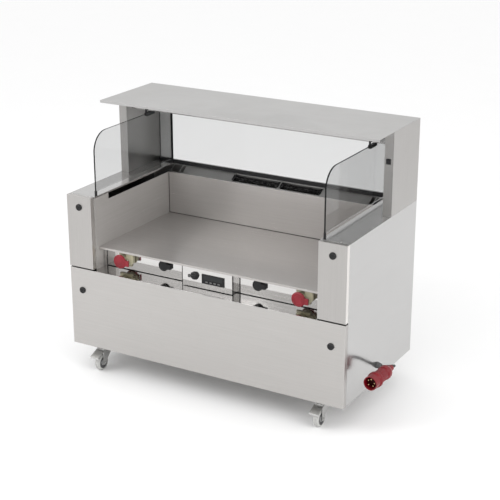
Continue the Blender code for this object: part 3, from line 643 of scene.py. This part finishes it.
# --- Finishes of this station ---
FRONT_SHEET = SheetFinish("front_sheet", (0.492, 0.478, 0.464), 0.33, Grain.ALONG_X)
# Painted light: the pillar covers' faces that look along X are 1.8 times lighter.
COVER_SHEET = SheetFinish("cover_sheet", (0.445, 0.432, 0.420), 0.33, Grain.ALONG_Z, facing_light_and_shade=(1.8, 1.0, 1.0))
# Painted shade: the side panels' faces that look up are darker.
SIDE_SHEET = SheetFinish("side_sheet", (0.555, 0.550, 0.545), 0.16, Grain.ALONG_Y, depth=0.05, waviness=0.02,
                         facing_light_and_shade=(1.0, 1.0, 0.80))
TOP_SHEET = SheetFinish("top_sheet", (0.470, 0.466, 0.460), 0.36, Grain.ALONG_X, dust=0.12)
# Painted shade: the columns' faces that look along Y are darker.
COLUMN_SHEET = SheetFinish("column_sheet", (0.465, 0.452, 0.440), 0.30, Grain.ALONG_Z, facing_light_and_shade=(1.0, 0.74, 1.0))
# Painted light: a pale, almost non-metal copy of the column steel, so the column wings look lit.
WING_PAINTED_LIGHT = SheetFinish("wing_sheet_painted_light", (0.80, 0.80, 0.79), 0.35, Grain.ALONG_Z, metal=0.05)
NICHE_SHEET = SheetFinish("niche_sheet", (0.425, 0.405, 0.390), 0.22, Grain.ALONG_X, depth=0.05,
                          waviness=0.01, smears=0.03, dust=0.02, metal=0.45)
# Painted light: the niche's side walls take a lighter copy of the niche sheet.
NICHE_SIDE_LIT = replace(NICHE_SHEET, name="niche_side_sheet_painted_light", colour=(0.53, 0.508, 0.490), grain=Grain.ALONG_Y)
MIRROR_SHEET = SheetFinish("control_sheet", (0.60, 0.59, 0.58), 0.07, Grain.ALONG_X, depth=0.03,
                           waviness=0.01, smears=0.04, dust=0.03)
# Painted reflection: a darker copy of the steel, for the dark surroundings the polished header rail reflects.
HEADER_SHADED_SHEET = SheetFinish("header_sheet_painted_shade", (0.30, 0.295, 0.29), 0.10, Grain.ALONG_X, depth=0.04)
HIDDEN_SHEET = SheetFinish("inner_sheet", (0.42, 0.41, 0.40), 0.42, Grain.ALONG_X, dust=0.25)
# Painted shade: the filters are near black, for the dark openings into the extraction duct.
FILTER_SHADE = SheetFinish("filter_painted_shade", (0.035, 0.035, 0.035), 0.40, Grain.ALONG_X, dust=0.02)
FORK_SHEET = SheetFinish("zinc_plated", (0.60, 0.60, 0.59), 0.28, Grain.NONE, depth=0.12, dust=0.12)
SCREW_STEEL = SheetFinish("screw_steel", (0.55, 0.55, 0.54), 0.22, Grain.NONE, depth=0.05, dust=0.05)
BLACK = PlasticFinish("black_plastic", (0.014, 0.014, 0.015), 0.42, shine=0.28)
BLACK_GLOSS = PlasticFinish("black_gloss", (0.010, 0.010, 0.011), 0.25, texture_depth=0.04, shine=0.3)
# Painted shade: the black band stands for the dark look of the side panes' edges.
PANE_EDGE_SHADE = PlasticFinish("pane_edge_painted_shade", (0.008, 0.009, 0.009), 0.40, texture_depth=0.05, edge_marks=0.0,
                           dust=0.02, shine=0.08)
# Black for the pane seals, and painted shade for the gap strips and the niche's corner lines.
SEAL_AND_SHADE_BLACK = PlasticFinish("black_gasket_and_painted_shade", (0.012, 0.012, 0.012), 0.6, texture_depth=0.3, edge_marks=0.05, dust=0.03,
                       shine=0.05)
RED = PlasticFinish("red_plastic", (0.245, 0.014, 0.024), 0.38, texture_depth=0.08,
                    edge_wear_and_highlight=(0.45, 0.12, 0.12), coat=0.15, shine=0.25)
PLUG_RED = replace(RED, name="plug_red", colour=(0.185, 0.003, 0.009), roughness=0.32,
                   edge_wear_and_highlight=(0.36, 0.05, 0.06), dust=0.04)
PLUG_INSIDE = PlasticFinish("plug_inside", (0.035, 0.002, 0.003), 0.45, texture_depth=0.08, edge_marks=0.1,
                            dust=0.03, shine=0.1)
OLIVE = PlasticFinish("khaki_plastic", (0.50, 0.465, 0.32), 0.40, edge_wear_and_highlight=(0.62, 0.58, 0.45))
KEY_GREY = PlasticFinish("key_grey", (0.12, 0.12, 0.12), 0.40)
GREY = PlasticFinish("grey_plastic", (0.42, 0.42, 0.41), 0.45, edge_wear_and_highlight=(0.55, 0.55, 0.54))
GLAND_GREY = PlasticFinish("gland_grey", (0.085, 0.087, 0.088), 0.45, edge_wear_and_highlight=(0.16, 0.16, 0.16), dust=0.06)
RUBBER = PlasticFinish("cable_sheath", (0.020, 0.020, 0.021), 0.55, texture_scale=500.0, texture_depth=0.3,
                       edge_marks=0.15)
BRASS = SheetFinish("contact_brass", (0.62, 0.47, 0.24), 0.25, Grain.NONE, depth=0.05, dust=0.0)


# --- Studio ---
@dataclass
class Studio:
    """Camera, soft lights, pale surroundings and the floor."""

    azimuth: float = 29.8714
    elevation: float = 19.908
    place: Triple = (2.97262, -5.07246, 2.77264)
    lens: float = 92.93544
    sensor: float = 36.0
    sky: float = 1.18
    sky_low: Colour = (1.0, 1.0, 1.0)
    sky_high: Colour = (0.80, 0.80, 0.80)
    floor_reach: float = 30.0

    def set_camera(self) -> None:
        """Place the camera and make it the scene's."""
        data = bpy.data.cameras.new("camera")
        data.sensor_width = self.sensor
        data.lens = self.lens
        data.clip_end = 100.0
        camera = new_object("camera", data)
        camera.location = self.place
        camera.rotation_euler = (math.radians(90 - self.elevation), 0.0, math.radians(self.azimuth))
        bpy.context.scene.camera = camera

    def light(self, name: str, place: Triple, aim: Triple,
              size: float, power: float) -> None:
        """Hang one soft square light.

        Args:
            name: Its name.
            place: Where it hangs.
            aim: The point it faces.
            size: Length of its side.
            power: Its power in watts.
        """
        data = bpy.data.lights.new(name, "AREA")
        data.shape, data.size, data.energy = "SQUARE", size, power
        lamp = new_object(name, data)
        lamp.location = place
        lamp.rotation_euler = (Vector(aim) - Vector(place)).to_track_quat("-Z", "Y").to_euler()

    def build(self, wardrobe: Wardrobe) -> None:
        """Set the surroundings, the lights and the floor.

        Args:
            wardrobe: Where the floor's material is kept.
        """
        scene = bpy.context.scene
        scene.view_settings.view_transform = "Standard"
        world = bpy.data.worlds.new("surroundings")
        world.use_nodes = True
        scene.world = world
        sky = Tree(world.node_tree)
        node = world.node_tree.nodes["Background"]
        facing = sky.add("ShaderNodeTexCoord").outputs["Generated"]
        height = sky.add("ShaderNodeSeparateXYZ", {"Vector": facing}).outputs["Z"]
        tone = sky.blend(sky.span(height, -0.2, 0.9), (*self.sky_low, 1.0), (*self.sky_high, 1.0))
        sky.feed(node.inputs["Color"], tone)
        node.inputs["Strength"].default_value = self.sky
        self.light("key_light", place=(-2.6, -3.2, 3.6), aim=(0.0, 0.0, 0.6), size=2.4, power=70.0)
        self.light("fill_light", place=(3.6, -1.2, 2.4), aim=(0.2, 0.0, 0.6), size=2.2, power=40.0)
        bm = bmesh.new()
        bmesh.ops.create_grid(bm, x_segments=1, y_segments=1, size=self.floor_reach)
        mesh = bpy.data.meshes.new("floor")
        bm.to_mesh(mesh)
        bm.free()
        mesh.materials.append(wardrobe.material(FloorFinish()))
        new_object("floor", mesh)


# --- Supply lead ---
@dataclass
class SupplyLead:
    """Cable from the gland in the right panel to the five-pin plug."""

    shop: Workshop
    radius: float = 0.0065
    exit_depth: float = 0.358
    exit_height: float = 0.208
    panel_x: float = 0.750
    bend: float = 0.055
    steps: int = 30
    gland_reach: float = 0.022
    plug_length: float = 0.208
    plug_overlap: float = 0.030
    rib_count: int = 18
    rib_size: Triple = (0.044, 0.0024, 0.0030)
    rib_middle: float = 0.098
    rib_circle: float = 0.0290
    rib_rounding: float = 0.0008
    face_depth: float = 0.0325
    face_radius: float = 0.0275
    face_thickness: float = 0.0010
    pin_circle: float = 0.0165
    pin_reach: float = 0.0232
    sleeve: float = 0.0003
    pins: tuple[tuple[int, float], ...] = ((88, 0.0032), (146, 0.0028), (4, 0.0028), (222, 0.0028),
                                           (308, 0.0028))
    collar_places: tuple[float, float] = (0.0445, 0.0555)
    collar_radius: float = 0.0362
    collar_half: float = 0.0012
    mouth: Vector = field(default_factory=lambda: Vector((0.846, 0.068, 0.256)))
    axis: Vector = field(default_factory=lambda: Vector((0.010, 0.211, -0.003)).normalized())

    def route(self) -> list[Vector]:
        """Give the cable's centreline: out of the gland, a quarter turn while it rises, into the plug."""
        rear = self.mouth + self.axis * self.plug_length
        tail = rear - self.axis * self.plug_overlap
        turn_x = tail.x - self.bend
        points = [Vector((self.panel_x + x, self.exit_depth, self.exit_height))
                  for x in (0.0, self.gland_reach)]
        start = points[-1].x
        straight, arc = turn_x - start, self.bend * math.pi / 2
        total = straight + arc + (self.exit_depth - self.bend - rear.y)
        for index in range(1, self.steps + 1):
            along = total * index / self.steps
            t = along / total
            z = self.exit_height + (rear.z - self.exit_height) * t * t * (3 - 2 * t)
            if along <= straight:
                points.append(Vector((start + along, self.exit_depth, z)))
            elif along <= straight + arc:
                angle = (along - straight) / self.bend
                points.append(Vector((turn_x + self.bend * math.sin(angle),
                                      self.exit_depth - self.bend * (1 - math.cos(angle)), z)))
            else:
                share = (along - straight - arc) / (total - straight - arc)
                points.append(Vector((turn_x + self.bend, self.exit_depth - self.bend, z)).lerp(rear, share))
        points.append(tail)
        return [Vector((p.x, back(p.y), p.z)) for p in points]

    def lay_cable(self) -> bpy.types.Object:
        path = self.route()
        data = bpy.data.curves.new("supply_lead", "CURVE")
        data.dimensions, data.bevel_depth, data.bevel_resolution = "3D", self.radius, 6
        data.use_fill_caps = True
        spline = data.splines.new("POLY")
        spline.points.add(len(path) - 1)
        for point, place in zip(spline.points, path):
            point.co = (*place, 1.0)
        data.materials.append(self.shop.wardrobe.material(RUBBER))
        cable = new_object("supply_lead", data)
        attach(cable, ROOT)
        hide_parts("supply_cable")
        details = self.dress_plug()
        return cable

    def dress_plug(self) -> list[bpy.types.Object]:
        """Dress the plug and the gland, add the plug's small pieces and give back the grip ribs."""
        self.shop.wardrobe.dress(PLUG_RED, "supply_plug")
        self.shop.wardrobe.dress(GLAND_GREY, "cable_gland")
        mouth = Vector((self.mouth.x, back(self.mouth.y), self.mouth.z))
        side = self.axis.cross(UP).normalized()
        up = side.cross(self.axis)
        ribs = bmesh.new()
        for index in range(self.rib_count):
            turn = math.tau * index / self.rib_count
            outward = side * math.cos(turn) + up * math.sin(turn)
            centre = mouth + self.axis * self.rib_middle + outward * self.rib_circle
            basis = Matrix((self.axis, outward, self.axis.cross(outward))).transposed().to_4x4()
            place = Matrix.Translation(centre) @ basis @ Matrix.Diagonal((*self.rib_size, 1.0))
            self.shop.round_edges(ribs, bmesh.ops.create_cube(ribs, size=1.0, matrix=place)["verts"],
                                  self.rib_rounding)
        rib_piece = self.shop.deliver("plug_grip_ribs", ribs, PLUG_RED, ROOT, "red_plastic")
        face = bmesh.new()
        self.shop.add_ring(face, mouth + self.axis * self.face_depth, self.axis,
                           [(0.0, 0.0), (self.face_radius, 0.0),
                            (self.face_radius + self.face_thickness, self.face_thickness),
                            (0.0, self.face_thickness)])
        self.shop.deliver("plug_face", face, PLUG_INSIDE, ROOT, "black_plastic")
        pins = bmesh.new()
        for angle, radius in self.pins:
            turn = math.radians(angle)
            outward = side * math.cos(turn) + up * math.sin(turn)
            start = mouth + self.axis * (self.face_depth - 0.0005) + outward * self.pin_circle
            sleeve = radius + self.sleeve
            self.shop.add_ring(pins, start, -self.axis,
                               [(sleeve, 0.0), (sleeve, self.pin_reach - 0.001),
                                (sleeve - 0.0009, self.pin_reach), (0.0, self.pin_reach)], 20)
        self.shop.deliver("plug_pin_sleeves", pins, BRASS, ROOT, "caster_steel")
        collar = bmesh.new()
        for along in self.collar_places:
            inner, outer, half = self.collar_radius, self.collar_radius + 0.0012, self.collar_half
            self.shop.add_ring(collar, mouth + self.axis * along, self.axis,
                               [(inner, -half), (outer, -half / 2), (outer, half / 2), (inner, half),
                                (inner - 0.0007, 0.0), (inner, -half)], 44)
        self.shop.deliver("plug_collar_rings", collar, PLUG_RED, ROOT, "red_plastic")
        return [rib_piece]


# --- Cabinet ---
@dataclass
class Cabinet:
    """Outer sheets, pillar covers and quarter-turn locks."""

    shop: Workshop
    lock_x: float = 0.680
    lock_heights: dict[str, float] = field(default_factory=lambda: {"upper": 0.853, "lower": 0.426})
    lock_front: float = -0.0068
    rim_radii: tuple[float, float] = (0.0112, 0.0132)
    screw_head: tuple[float, float] = (0.0042, 0.0016)
    screw: Triple = (0.702, 0.0335, 0.909)

    def dress(self) -> None:
        """Give the sheets their finishes."""
        dress = self.shop.wardrobe.dress
        dress(FRONT_SHEET, "front_panel")
        dress(COVER_SHEET, "pillar_cover_left", "pillar_cover_right")
        dress(SIDE_SHEET, "side_panel_left", "side_panel_right")
        dress(HIDDEN_SHEET, "base_tray", "rear_panel")
        for level in self.lock_heights:
            for side in SIDES:
                dress(BLACK, f"lock_{level}_{side}")

    def build_locks(self) -> None:
        """Add the raised rim round each lock's key slot."""
        inner, outer = self.rim_radii
        for level, z in self.lock_heights.items():
            for side, sign in SIDES.items():
                bm = bmesh.new()
                centre = Vector((sign * self.lock_x, back(self.lock_front), z))
                self.shop.add_ring(bm, centre, FORWARD,
                                   [(inner, -0.0006), (outer, -0.0006), (outer, 0.0004),
                                    (outer - 0.0004, 0.0009), (inner + 0.0004, 0.0009), (inner, 0.0004),
                                    (inner, -0.0006)], 36)
                self.shop.deliver(f"lock_rim_{level}_{side}", bm, BLACK_GLOSS, f"lock_{level}_{side}",
                                  "black_plastic")

    def build_screws(self) -> None:
        """Add the screws in the pillar tops."""
        x, depth, z = self.screw
        for side, sign in SIDES.items():
            bm = bmesh.new()
            self.shop.add_screw(bm, Vector((sign * x, back(depth), z)), UP, *self.screw_head)
            self.shop.deliver(f"pillar_screw_{side}", bm, SCREW_STEEL, ROOT, "caster_steel")

    def build(self) -> None:
        """Dress the sheets and add the small pieces."""
        self.dress()
        self.build_locks()
        self.build_screws()


# --- Niche ---
@dataclass
class Niche:
    """Recess for cooking appliances with its slotted edges and filters."""

    shop: Workshop
    half: float = 0.6086
    rear: float = 0.6779
    floor: float = 0.6491
    top: float = 0.868
    shade_line: float = 0.0012

    def build(self) -> None:
        """Dress the niche's sheets and filters."""
        dress = self.shop.wardrobe.dress
        dress(NICHE_SHEET, "niche_floor", "niche_rear_wall")
        dress(NICHE_SIDE_LIT, "niche_wall_left", "niche_wall_right")
        dress(TOP_SHEET, "rear_ledge")
        dress(FILTER_SHADE, "filter_left", "filter_right")
        self.build_corner_shade()

    def build_corner_shade(self) -> None:
        """Add thin dark strips in the niche's rear corners: painted shade along the corner seams."""
        upright = bmesh.new()
        for sign in SIDES.values():
            low, high = sorted((sign * (self.half - 2 * self.shade_line), sign * self.half))
            self.shop.add_block(upright, (low, back(self.rear - self.shade_line), self.floor),
                                (high, back(self.rear), self.top), 0.0003)
        self.shop.deliver("niche_corner_shade_strips", upright, SEAL_AND_SHADE_BLACK, ROOT, "black_plastic")
        level = bmesh.new()
        self.shop.add_block(level, (-self.half, back(self.rear - 0.0022), self.floor),
                            (self.half, back(self.rear), self.floor + 0.0018), 0.0003)
        self.shop.deliver("niche_floor_shade_strip", level, SEAL_AND_SHADE_BLACK, ROOT, "black_plastic")


# --- Control row ---
@dataclass
class ControlRow:
    """Ledge, sockets with lids, control box, display and knob."""

    shop: Workshop
    face: float = 0.105
    box: float = 0.065
    power_x: dict[str, float] = field(default_factory=lambda: {"left": -0.488, "right": 0.488})
    power_z: float = 0.593
    outlet_x: dict[str, float] = field(default_factory=lambda: {"left": -0.265, "right": 0.253})
    outlet_z: float = 0.599
    knob: tuple[float, float] = (-0.066, 0.598)
    display: tuple[float, float, float, float] = (-0.028, 0.094, 0.568, 0.614)
    gap_middles: tuple[float, ...] = (-0.600, -0.162, 0.154, 0.600)
    gap_heights: tuple[float, float] = (0.538, 0.6466)
    gap_half: float = 0.0028
    power_reach: float = 0.0574
    power_rings: tuple[float, float] = (0.0290, 0.0190)
    hinge_place: Triple = (0.043, 0.047, -0.020)
    hinge_radius: float = 0.0034
    hinge_length: float = 0.034
    flange_screws: tuple[tuple[float, float], ...] = ((-0.029, 0.031), (-0.029, -0.029))
    screw_head: tuple[float, float] = (0.0030, 0.0016)
    outlet_reach: float = 0.0124
    outlet_ring: tuple[float, float] = (0.0188, 0.0216)
    pointer: tuple[float, float] = (-0.0280, -0.0120)
    key_count: int = 4
    first_key: float = 0.027
    key_pitch: float = 0.022
    key_half: float = 0.0062
    key_heights: tuple[float, float] = (0.0072, 0.0128)

    def dress(self) -> None:
        """Give the CAD nodes their finishes."""
        dress = self.shop.wardrobe.dress
        dress(MIRROR_SHEET, "ledge_plate", "socket_panel_left", "socket_panel_right", "control_box")
        for side in SIDES:
            dress(OLIVE, f"cee_socket_{side}")
            dress(RED, f"cee_lid_{side}")
            dress(BLACK, f"outlet_{side}", f"outlet_lid_{side}")
        x0, x1, _, z1 = self.display
        dress(ScreenFinish("display_foil", (x0 + 0.010, x1 - 0.010, z1 - 0.026, z1 - 0.005)), "display_panel")
        dress(BLACK, "rotary_knob")

    def build_power_lids(self) -> None:
        """Add each five-pin socket's lid rings, hinge pin and flange screws."""
        for side, x in self.power_x.items():
            body = f"cee_lid_{side}"
            front = Vector((x, back(self.face - self.power_reach), self.power_z))
            rings = bmesh.new()
            for radius in self.power_rings:
                profile = self.shop.ring_profile(radius - 0.0016, radius + 0.0016, -0.0005, 0.0009, 0.0006)
                self.shop.add_ring(rings, front, FORWARD, profile, 48)
            self.shop.deliver(f"power_lid_rings_{side}", rings, RED, body, "red_plastic")
            pin = bmesh.new()
            dx, reach, dz = self.hinge_place
            thick, long = self.hinge_radius, self.hinge_length
            self.shop.add_ring(pin, Vector((x + dx, back(self.face - reach), self.power_z + dz)), UP,
                               [(0.0, 0.0), (thick - 0.0004, 0.0), (thick, 0.0010), (thick, long - 0.0010),
                                (thick - 0.0004, long), (0.0, long)], 20)
            self.shop.deliver(f"power_hinge_pin_{side}", pin, SCREW_STEEL, body, "caster_steel")
            screws = bmesh.new()
            for dx, dz in self.flange_screws:
                self.shop.add_screw(screws, Vector((x + dx, back(self.face - 0.008), self.power_z + dz)),
                                    FORWARD, *self.screw_head)
            self.shop.deliver(f"power_flange_screws_{side}", screws, SCREW_STEEL, ROOT, "caster_steel")

    def build_power_shrouds(self) -> None:
        """Add the sloping housing that stands out beside each five-pin socket."""
        for side, x in self.power_x.items():
            bm = bmesh.new()
            self.shop.add_block(bm, (x + 0.018, back(self.face - 0.031), self.power_z - 0.020),
                                (x + 0.056, back(self.face - 0.0005), self.power_z + 0.038), 0.006, 3)
            # The housing's outer flank and its front are cut away at a slope.
            for origin, normal in (((x + 0.044, 0.0, self.power_z - 0.020), (0.75, 0.0, -0.66)),
                                   ((x + 0.030, back(self.face - 0.031), 0.0), (0.35, -0.94, 0.0))):
                faces = bmesh.ops.bisect_plane(bm, geom=[*bm.verts, *bm.edges, *bm.faces], plane_co=origin,
                                               plane_no=normal, clear_outer=True)["geom_cut"]
                bmesh.ops.contextual_create(bm, geom=[g for g in faces if isinstance(g, bmesh.types.BMEdge)])
            self.shop.deliver(f"power_housing_{side}", bm, OLIVE, ROOT, "olive_plastic")

    def build_outlet_lids(self) -> None:
        """Add the raised ring of each household outlet's lid."""
        for side, x in self.outlet_x.items():
            front = Vector((x, back(self.face - self.outlet_reach), self.outlet_z))
            ring = bmesh.new()
            self.shop.add_ring(ring, front, FORWARD,
                               self.shop.ring_profile(*self.outlet_ring, -0.0005, 0.0009, 0.0005))
            self.shop.deliver(f"outlet_lid_ring_{side}", ring, BLACK_GLOSS, f"outlet_lid_{side}",
                              "black_plastic")

    def build_display(self) -> None:
        """Add the display's touch keys."""
        x0, _, z0, _ = self.display
        y = back(self.box - 0.0033)
        keys = bmesh.new()
        for index in range(self.key_count):
            centre = x0 + self.first_key + self.key_pitch * index
            self.shop.add_block(keys, (centre - self.key_half, y - 0.0006, z0 + self.key_heights[0]),
                                (centre + self.key_half, y + 0.0002, z0 + self.key_heights[1]), 0.0003)
        self.shop.deliver("display_keys", keys, KEY_GREY, ROOT, "grey_plastic")

    def build_gap_shade_strips(self) -> None:
        """Add black strips along the modules' edges and above the ledge: painted shade for the dark gaps
        there.
        """
        low, top = self.gap_heights
        strips = bmesh.new()
        for middle in self.gap_middles:
            self.shop.add_block(strips, (middle - self.gap_half, back(self.face + 0.0001), low + 0.0003),
                                (middle + self.gap_half, back(self.face + 0.0014), top))
        reach = self.gap_middles[-1] - 0.0035
        self.shop.add_block(strips, (-reach, back(self.face + 0.0003), low + 0.0003),
                            (reach, back(self.face + 0.0016), low + 0.0032))
        self.shop.deliver("gap_shade_strips", strips, SEAL_AND_SHADE_BLACK, ROOT, "black_plastic")

    def build_knob(self) -> None:
        """Add the knob's pointer line and the scale ring behind it."""
        x, z = self.knob
        line = bmesh.new()
        start, end = self.pointer
        self.shop.add_block(line, (x + start, back(self.box - 0.0186), z - 0.0007),
                            (x + end, back(self.box - 0.0178), z + 0.0007), 0.0002)
        self.shop.deliver("knob_pointer", line, GREY, "rotary_knob", "grey_plastic")
        ring = bmesh.new()
        self.shop.add_ring(ring, Vector((x, back(self.box), z)), FORWARD,
                           [(0.0187, 0.0), (0.0205, 0.0), (0.0202, 0.0010), (0.0189, 0.0010),
                            (0.0187, 0.0)], 48)
        self.shop.deliver("knob_ring", ring, BLACK_GLOSS, ROOT, "black_plastic")

    def build(self) -> None:
        """Dress the row and add its small pieces."""
        self.dress()
        self.build_power_lids()
        self.build_power_shrouds()
        self.build_outlet_lids()
        self.build_display()
        self.build_gap_shade_strips()
        self.build_knob()


# --- Breath guard ---
@dataclass
class BreathGuard:
    """Columns, panes, clamps, header rail and canopy."""

    shop: Workshop
    pane: tuple[float, float, float, float] = (0.051, 0.715, 0.929, 1.215)
    pane_x: float = 0.614
    rounding: float = 0.095
    round_steps: int = 14
    edge_width: float = 0.0076
    proud: float = 0.00028
    seal_x: tuple[float, float] = (0.6170, 0.6290)
    bead_x: tuple[float, float] = (0.7026, 0.7057)
    plate_x: tuple[float, float] = (0.6295, 0.7050)
    seal_depths: tuple[float, float] = (0.7362, 0.7383)
    bead_depths: tuple[float, float] = (0.7446, 0.7464)
    plate_depths: tuple[float, float] = (0.7466, 0.7477)
    glass_heights: tuple[float, float] = (0.9226, 1.3068)

    def build(self) -> None:
        """Dress the guard and add its gaskets, the wing plates with painted light and the panes' edge bands
        of painted shade.
        """
        dress = self.shop.wardrobe.dress
        dress(COLUMN_SHEET, "column_left", "column_right")
        dress(HEADER_SHADED_SHEET, "header_rail")
        dress(TOP_SHEET, "canopy")
        dress(BLACK, "rear_glass_rail", "rocker_switch")
        for side in SIDES:
            dress(BLACK, f"glass_foot_front_{side}", f"glass_foot_rear_{side}", f"glass_clamp_{side}")
            dress(GlassFinish("side_pane", "X", tint=(0.69, 0.693, 0.693)), f"side_glass_{side}")
        dress(GlassFinish("rear_pane", "Y"), "rear_glass")
        self.build_gaskets()
        self.build_edge_shade_bands()

    def build_gaskets(self) -> None:
        """Add the black seals along the rear pane's upright edges and the plates beside it, whose pale colour
        is painted light on the column wings.
        """
        for side, sign in SIDES.items():
            seal, plate = bmesh.new(), bmesh.new()
            self.add_upright(seal, sign, self.seal_x, self.seal_depths, 0.0005, (-0.0004, 0.0002))
            self.add_upright(seal, sign, self.bead_x, self.bead_depths, 0.0005)
            self.shop.deliver(f"pane_seal_{side}", seal, SEAL_AND_SHADE_BLACK, ROOT, "black_plastic")
            self.add_upright(plate, sign, self.plate_x, self.plate_depths, 0.0003)
            self.shop.deliver(f"wing_painted_light_plate_{side}", plate, WING_PAINTED_LIGHT, ROOT, "brushed_sheet")

    def add_upright(self, bm: bmesh.types.BMesh, sign: int, across: tuple[float, float],
                    depths: tuple[float, float], radius: float,
                    longer: tuple[float, float] = (0.0, 0.0)) -> None:
        """Add a bar or plate that stands beside the rear pane.

        Args:
            bm: The bmesh that takes the shape.
            sign: Side of the station, -1 or 1.
            across: Its nearest and farthest place from the middle.
            depths: Its front and rear face.
            radius: Radius of its edges.
            longer: What its lower and upper end add to the pane's heights.
        """
        low, high = sorted(sign * x for x in across)
        bottom, top = (z + extra for z, extra in zip(self.glass_heights, longer))
        self.shop.add_block(bm, (low, back(depths[0]), bottom), (high, back(depths[1]), top), radius)

    def build_edge_shade_bands(self) -> None:
        """Add a black strip all round each side pane, just outside its outline: painted shade for the dark
        look of the pane's edge.
        """
        front, rear, low, high = (edge + grow * self.proud for edge, grow in zip(self.pane, (-1, 1, -1, 1)))
        corners = [(front, low)]
        for step in range(self.round_steps + 1):
            angle = math.pi - step * math.pi / 2 / self.round_steps
            corners.append((front + self.rounding * (1 + math.cos(angle)),
                            high - self.rounding * (1 - math.sin(angle))))
        corners += [(rear, high), (rear, low)]
        for side, sign in SIDES.items():
            bm = bmesh.new()
            start = sign * self.pane_x - self.edge_width / 2
            verts = [bm.verts.new((start, back(depth), z)) for depth, z in corners]
            edges = [bm.edges.new(pair) for pair in zip(verts, verts[1:] + verts[:1])]
            strip = bmesh.ops.extrude_edge_only(bm, edges=edges)["geom"]
            bmesh.ops.translate(bm, verts=[v for v in strip if isinstance(v, bmesh.types.BMVert)],
                                vec=(self.edge_width, 0, 0))
            self.shop.deliver(f"side_pane_edge_{side}", bm, PANE_EDGE_SHADE, ROOT, "clear_glass")


# --- Casters ---
@dataclass
class CasterSet:
    """Four swivel casters, the front pair with brake pedals."""

    shop: Workshop
    half_track: float = 0.612
    swivels: dict[str, float] = field(default_factory=lambda: {"front": 0.072, "rear": 0.678})
    trail: float = 0.035
    axle_z: float = 0.040
    nut_offset: float = 0.0211

    def build(self) -> None:
        """Dress every caster and add its axle's nuts."""
        for row, depth in self.swivels.items():
            for side, sign in SIDES.items():
                name = f"{row}_{side}"
                axle = (sign * self.half_track, back(depth - self.trail), self.axle_z)
                self.shop.wardrobe.dress(FORK_SHEET, f"caster_fork_{name}")
                self.shop.wardrobe.dress(WheelFinish(f"wheel_{name}", axle), f"caster_wheel_{name}")
                if row == "front":
                    self.shop.wardrobe.dress(FORK_SHEET, f"brake_pedal_{name}")
                self.build_nuts(name, Vector(axle))

    def build_nuts(self, name: str, axle: Vector) -> None:
        """Add the axle's nut and head.

        Args:
            name: Row and side of the caster.
            axle: Centre of its axle.
        """
        bm = bmesh.new()
        for sign in (-1, 1):
            start = axle + Vector((sign * self.nut_offset, 0, 0))
            self.shop.add_ring(bm, start, Vector((sign, 0, 0)),
                               [(0.0042, 0.0), (0.0072, 0.0), (0.0072, 0.0034), (0.0066, 0.0040),
                                (0.0042, 0.0040), (0.0042, 0.0)], 6)
        self.shop.deliver(f"axle_nuts_{name}", bm, SCREW_STEEL, f"caster_{name}", "caster_steel", 20.0)


def main() -> None:
    """Build the station's looks."""
    logging.basicConfig(level=logging.INFO, format="%(name)s: %(message)s")
    wardrobe = Wardrobe()
    shop = Workshop(wardrobe)
    studio = Studio()
    studio.set_camera()
    SupplyLead(shop).lay_cable()
    studio.build(wardrobe)
    for assembly in (Cabinet(shop), Niche(shop), ControlRow(shop), BreathGuard(shop), CasterSet(shop)):
        assembly.build()
        LOG.info("finished %s", type(assembly).__name__)


if __name__ == "__main__":
    main()
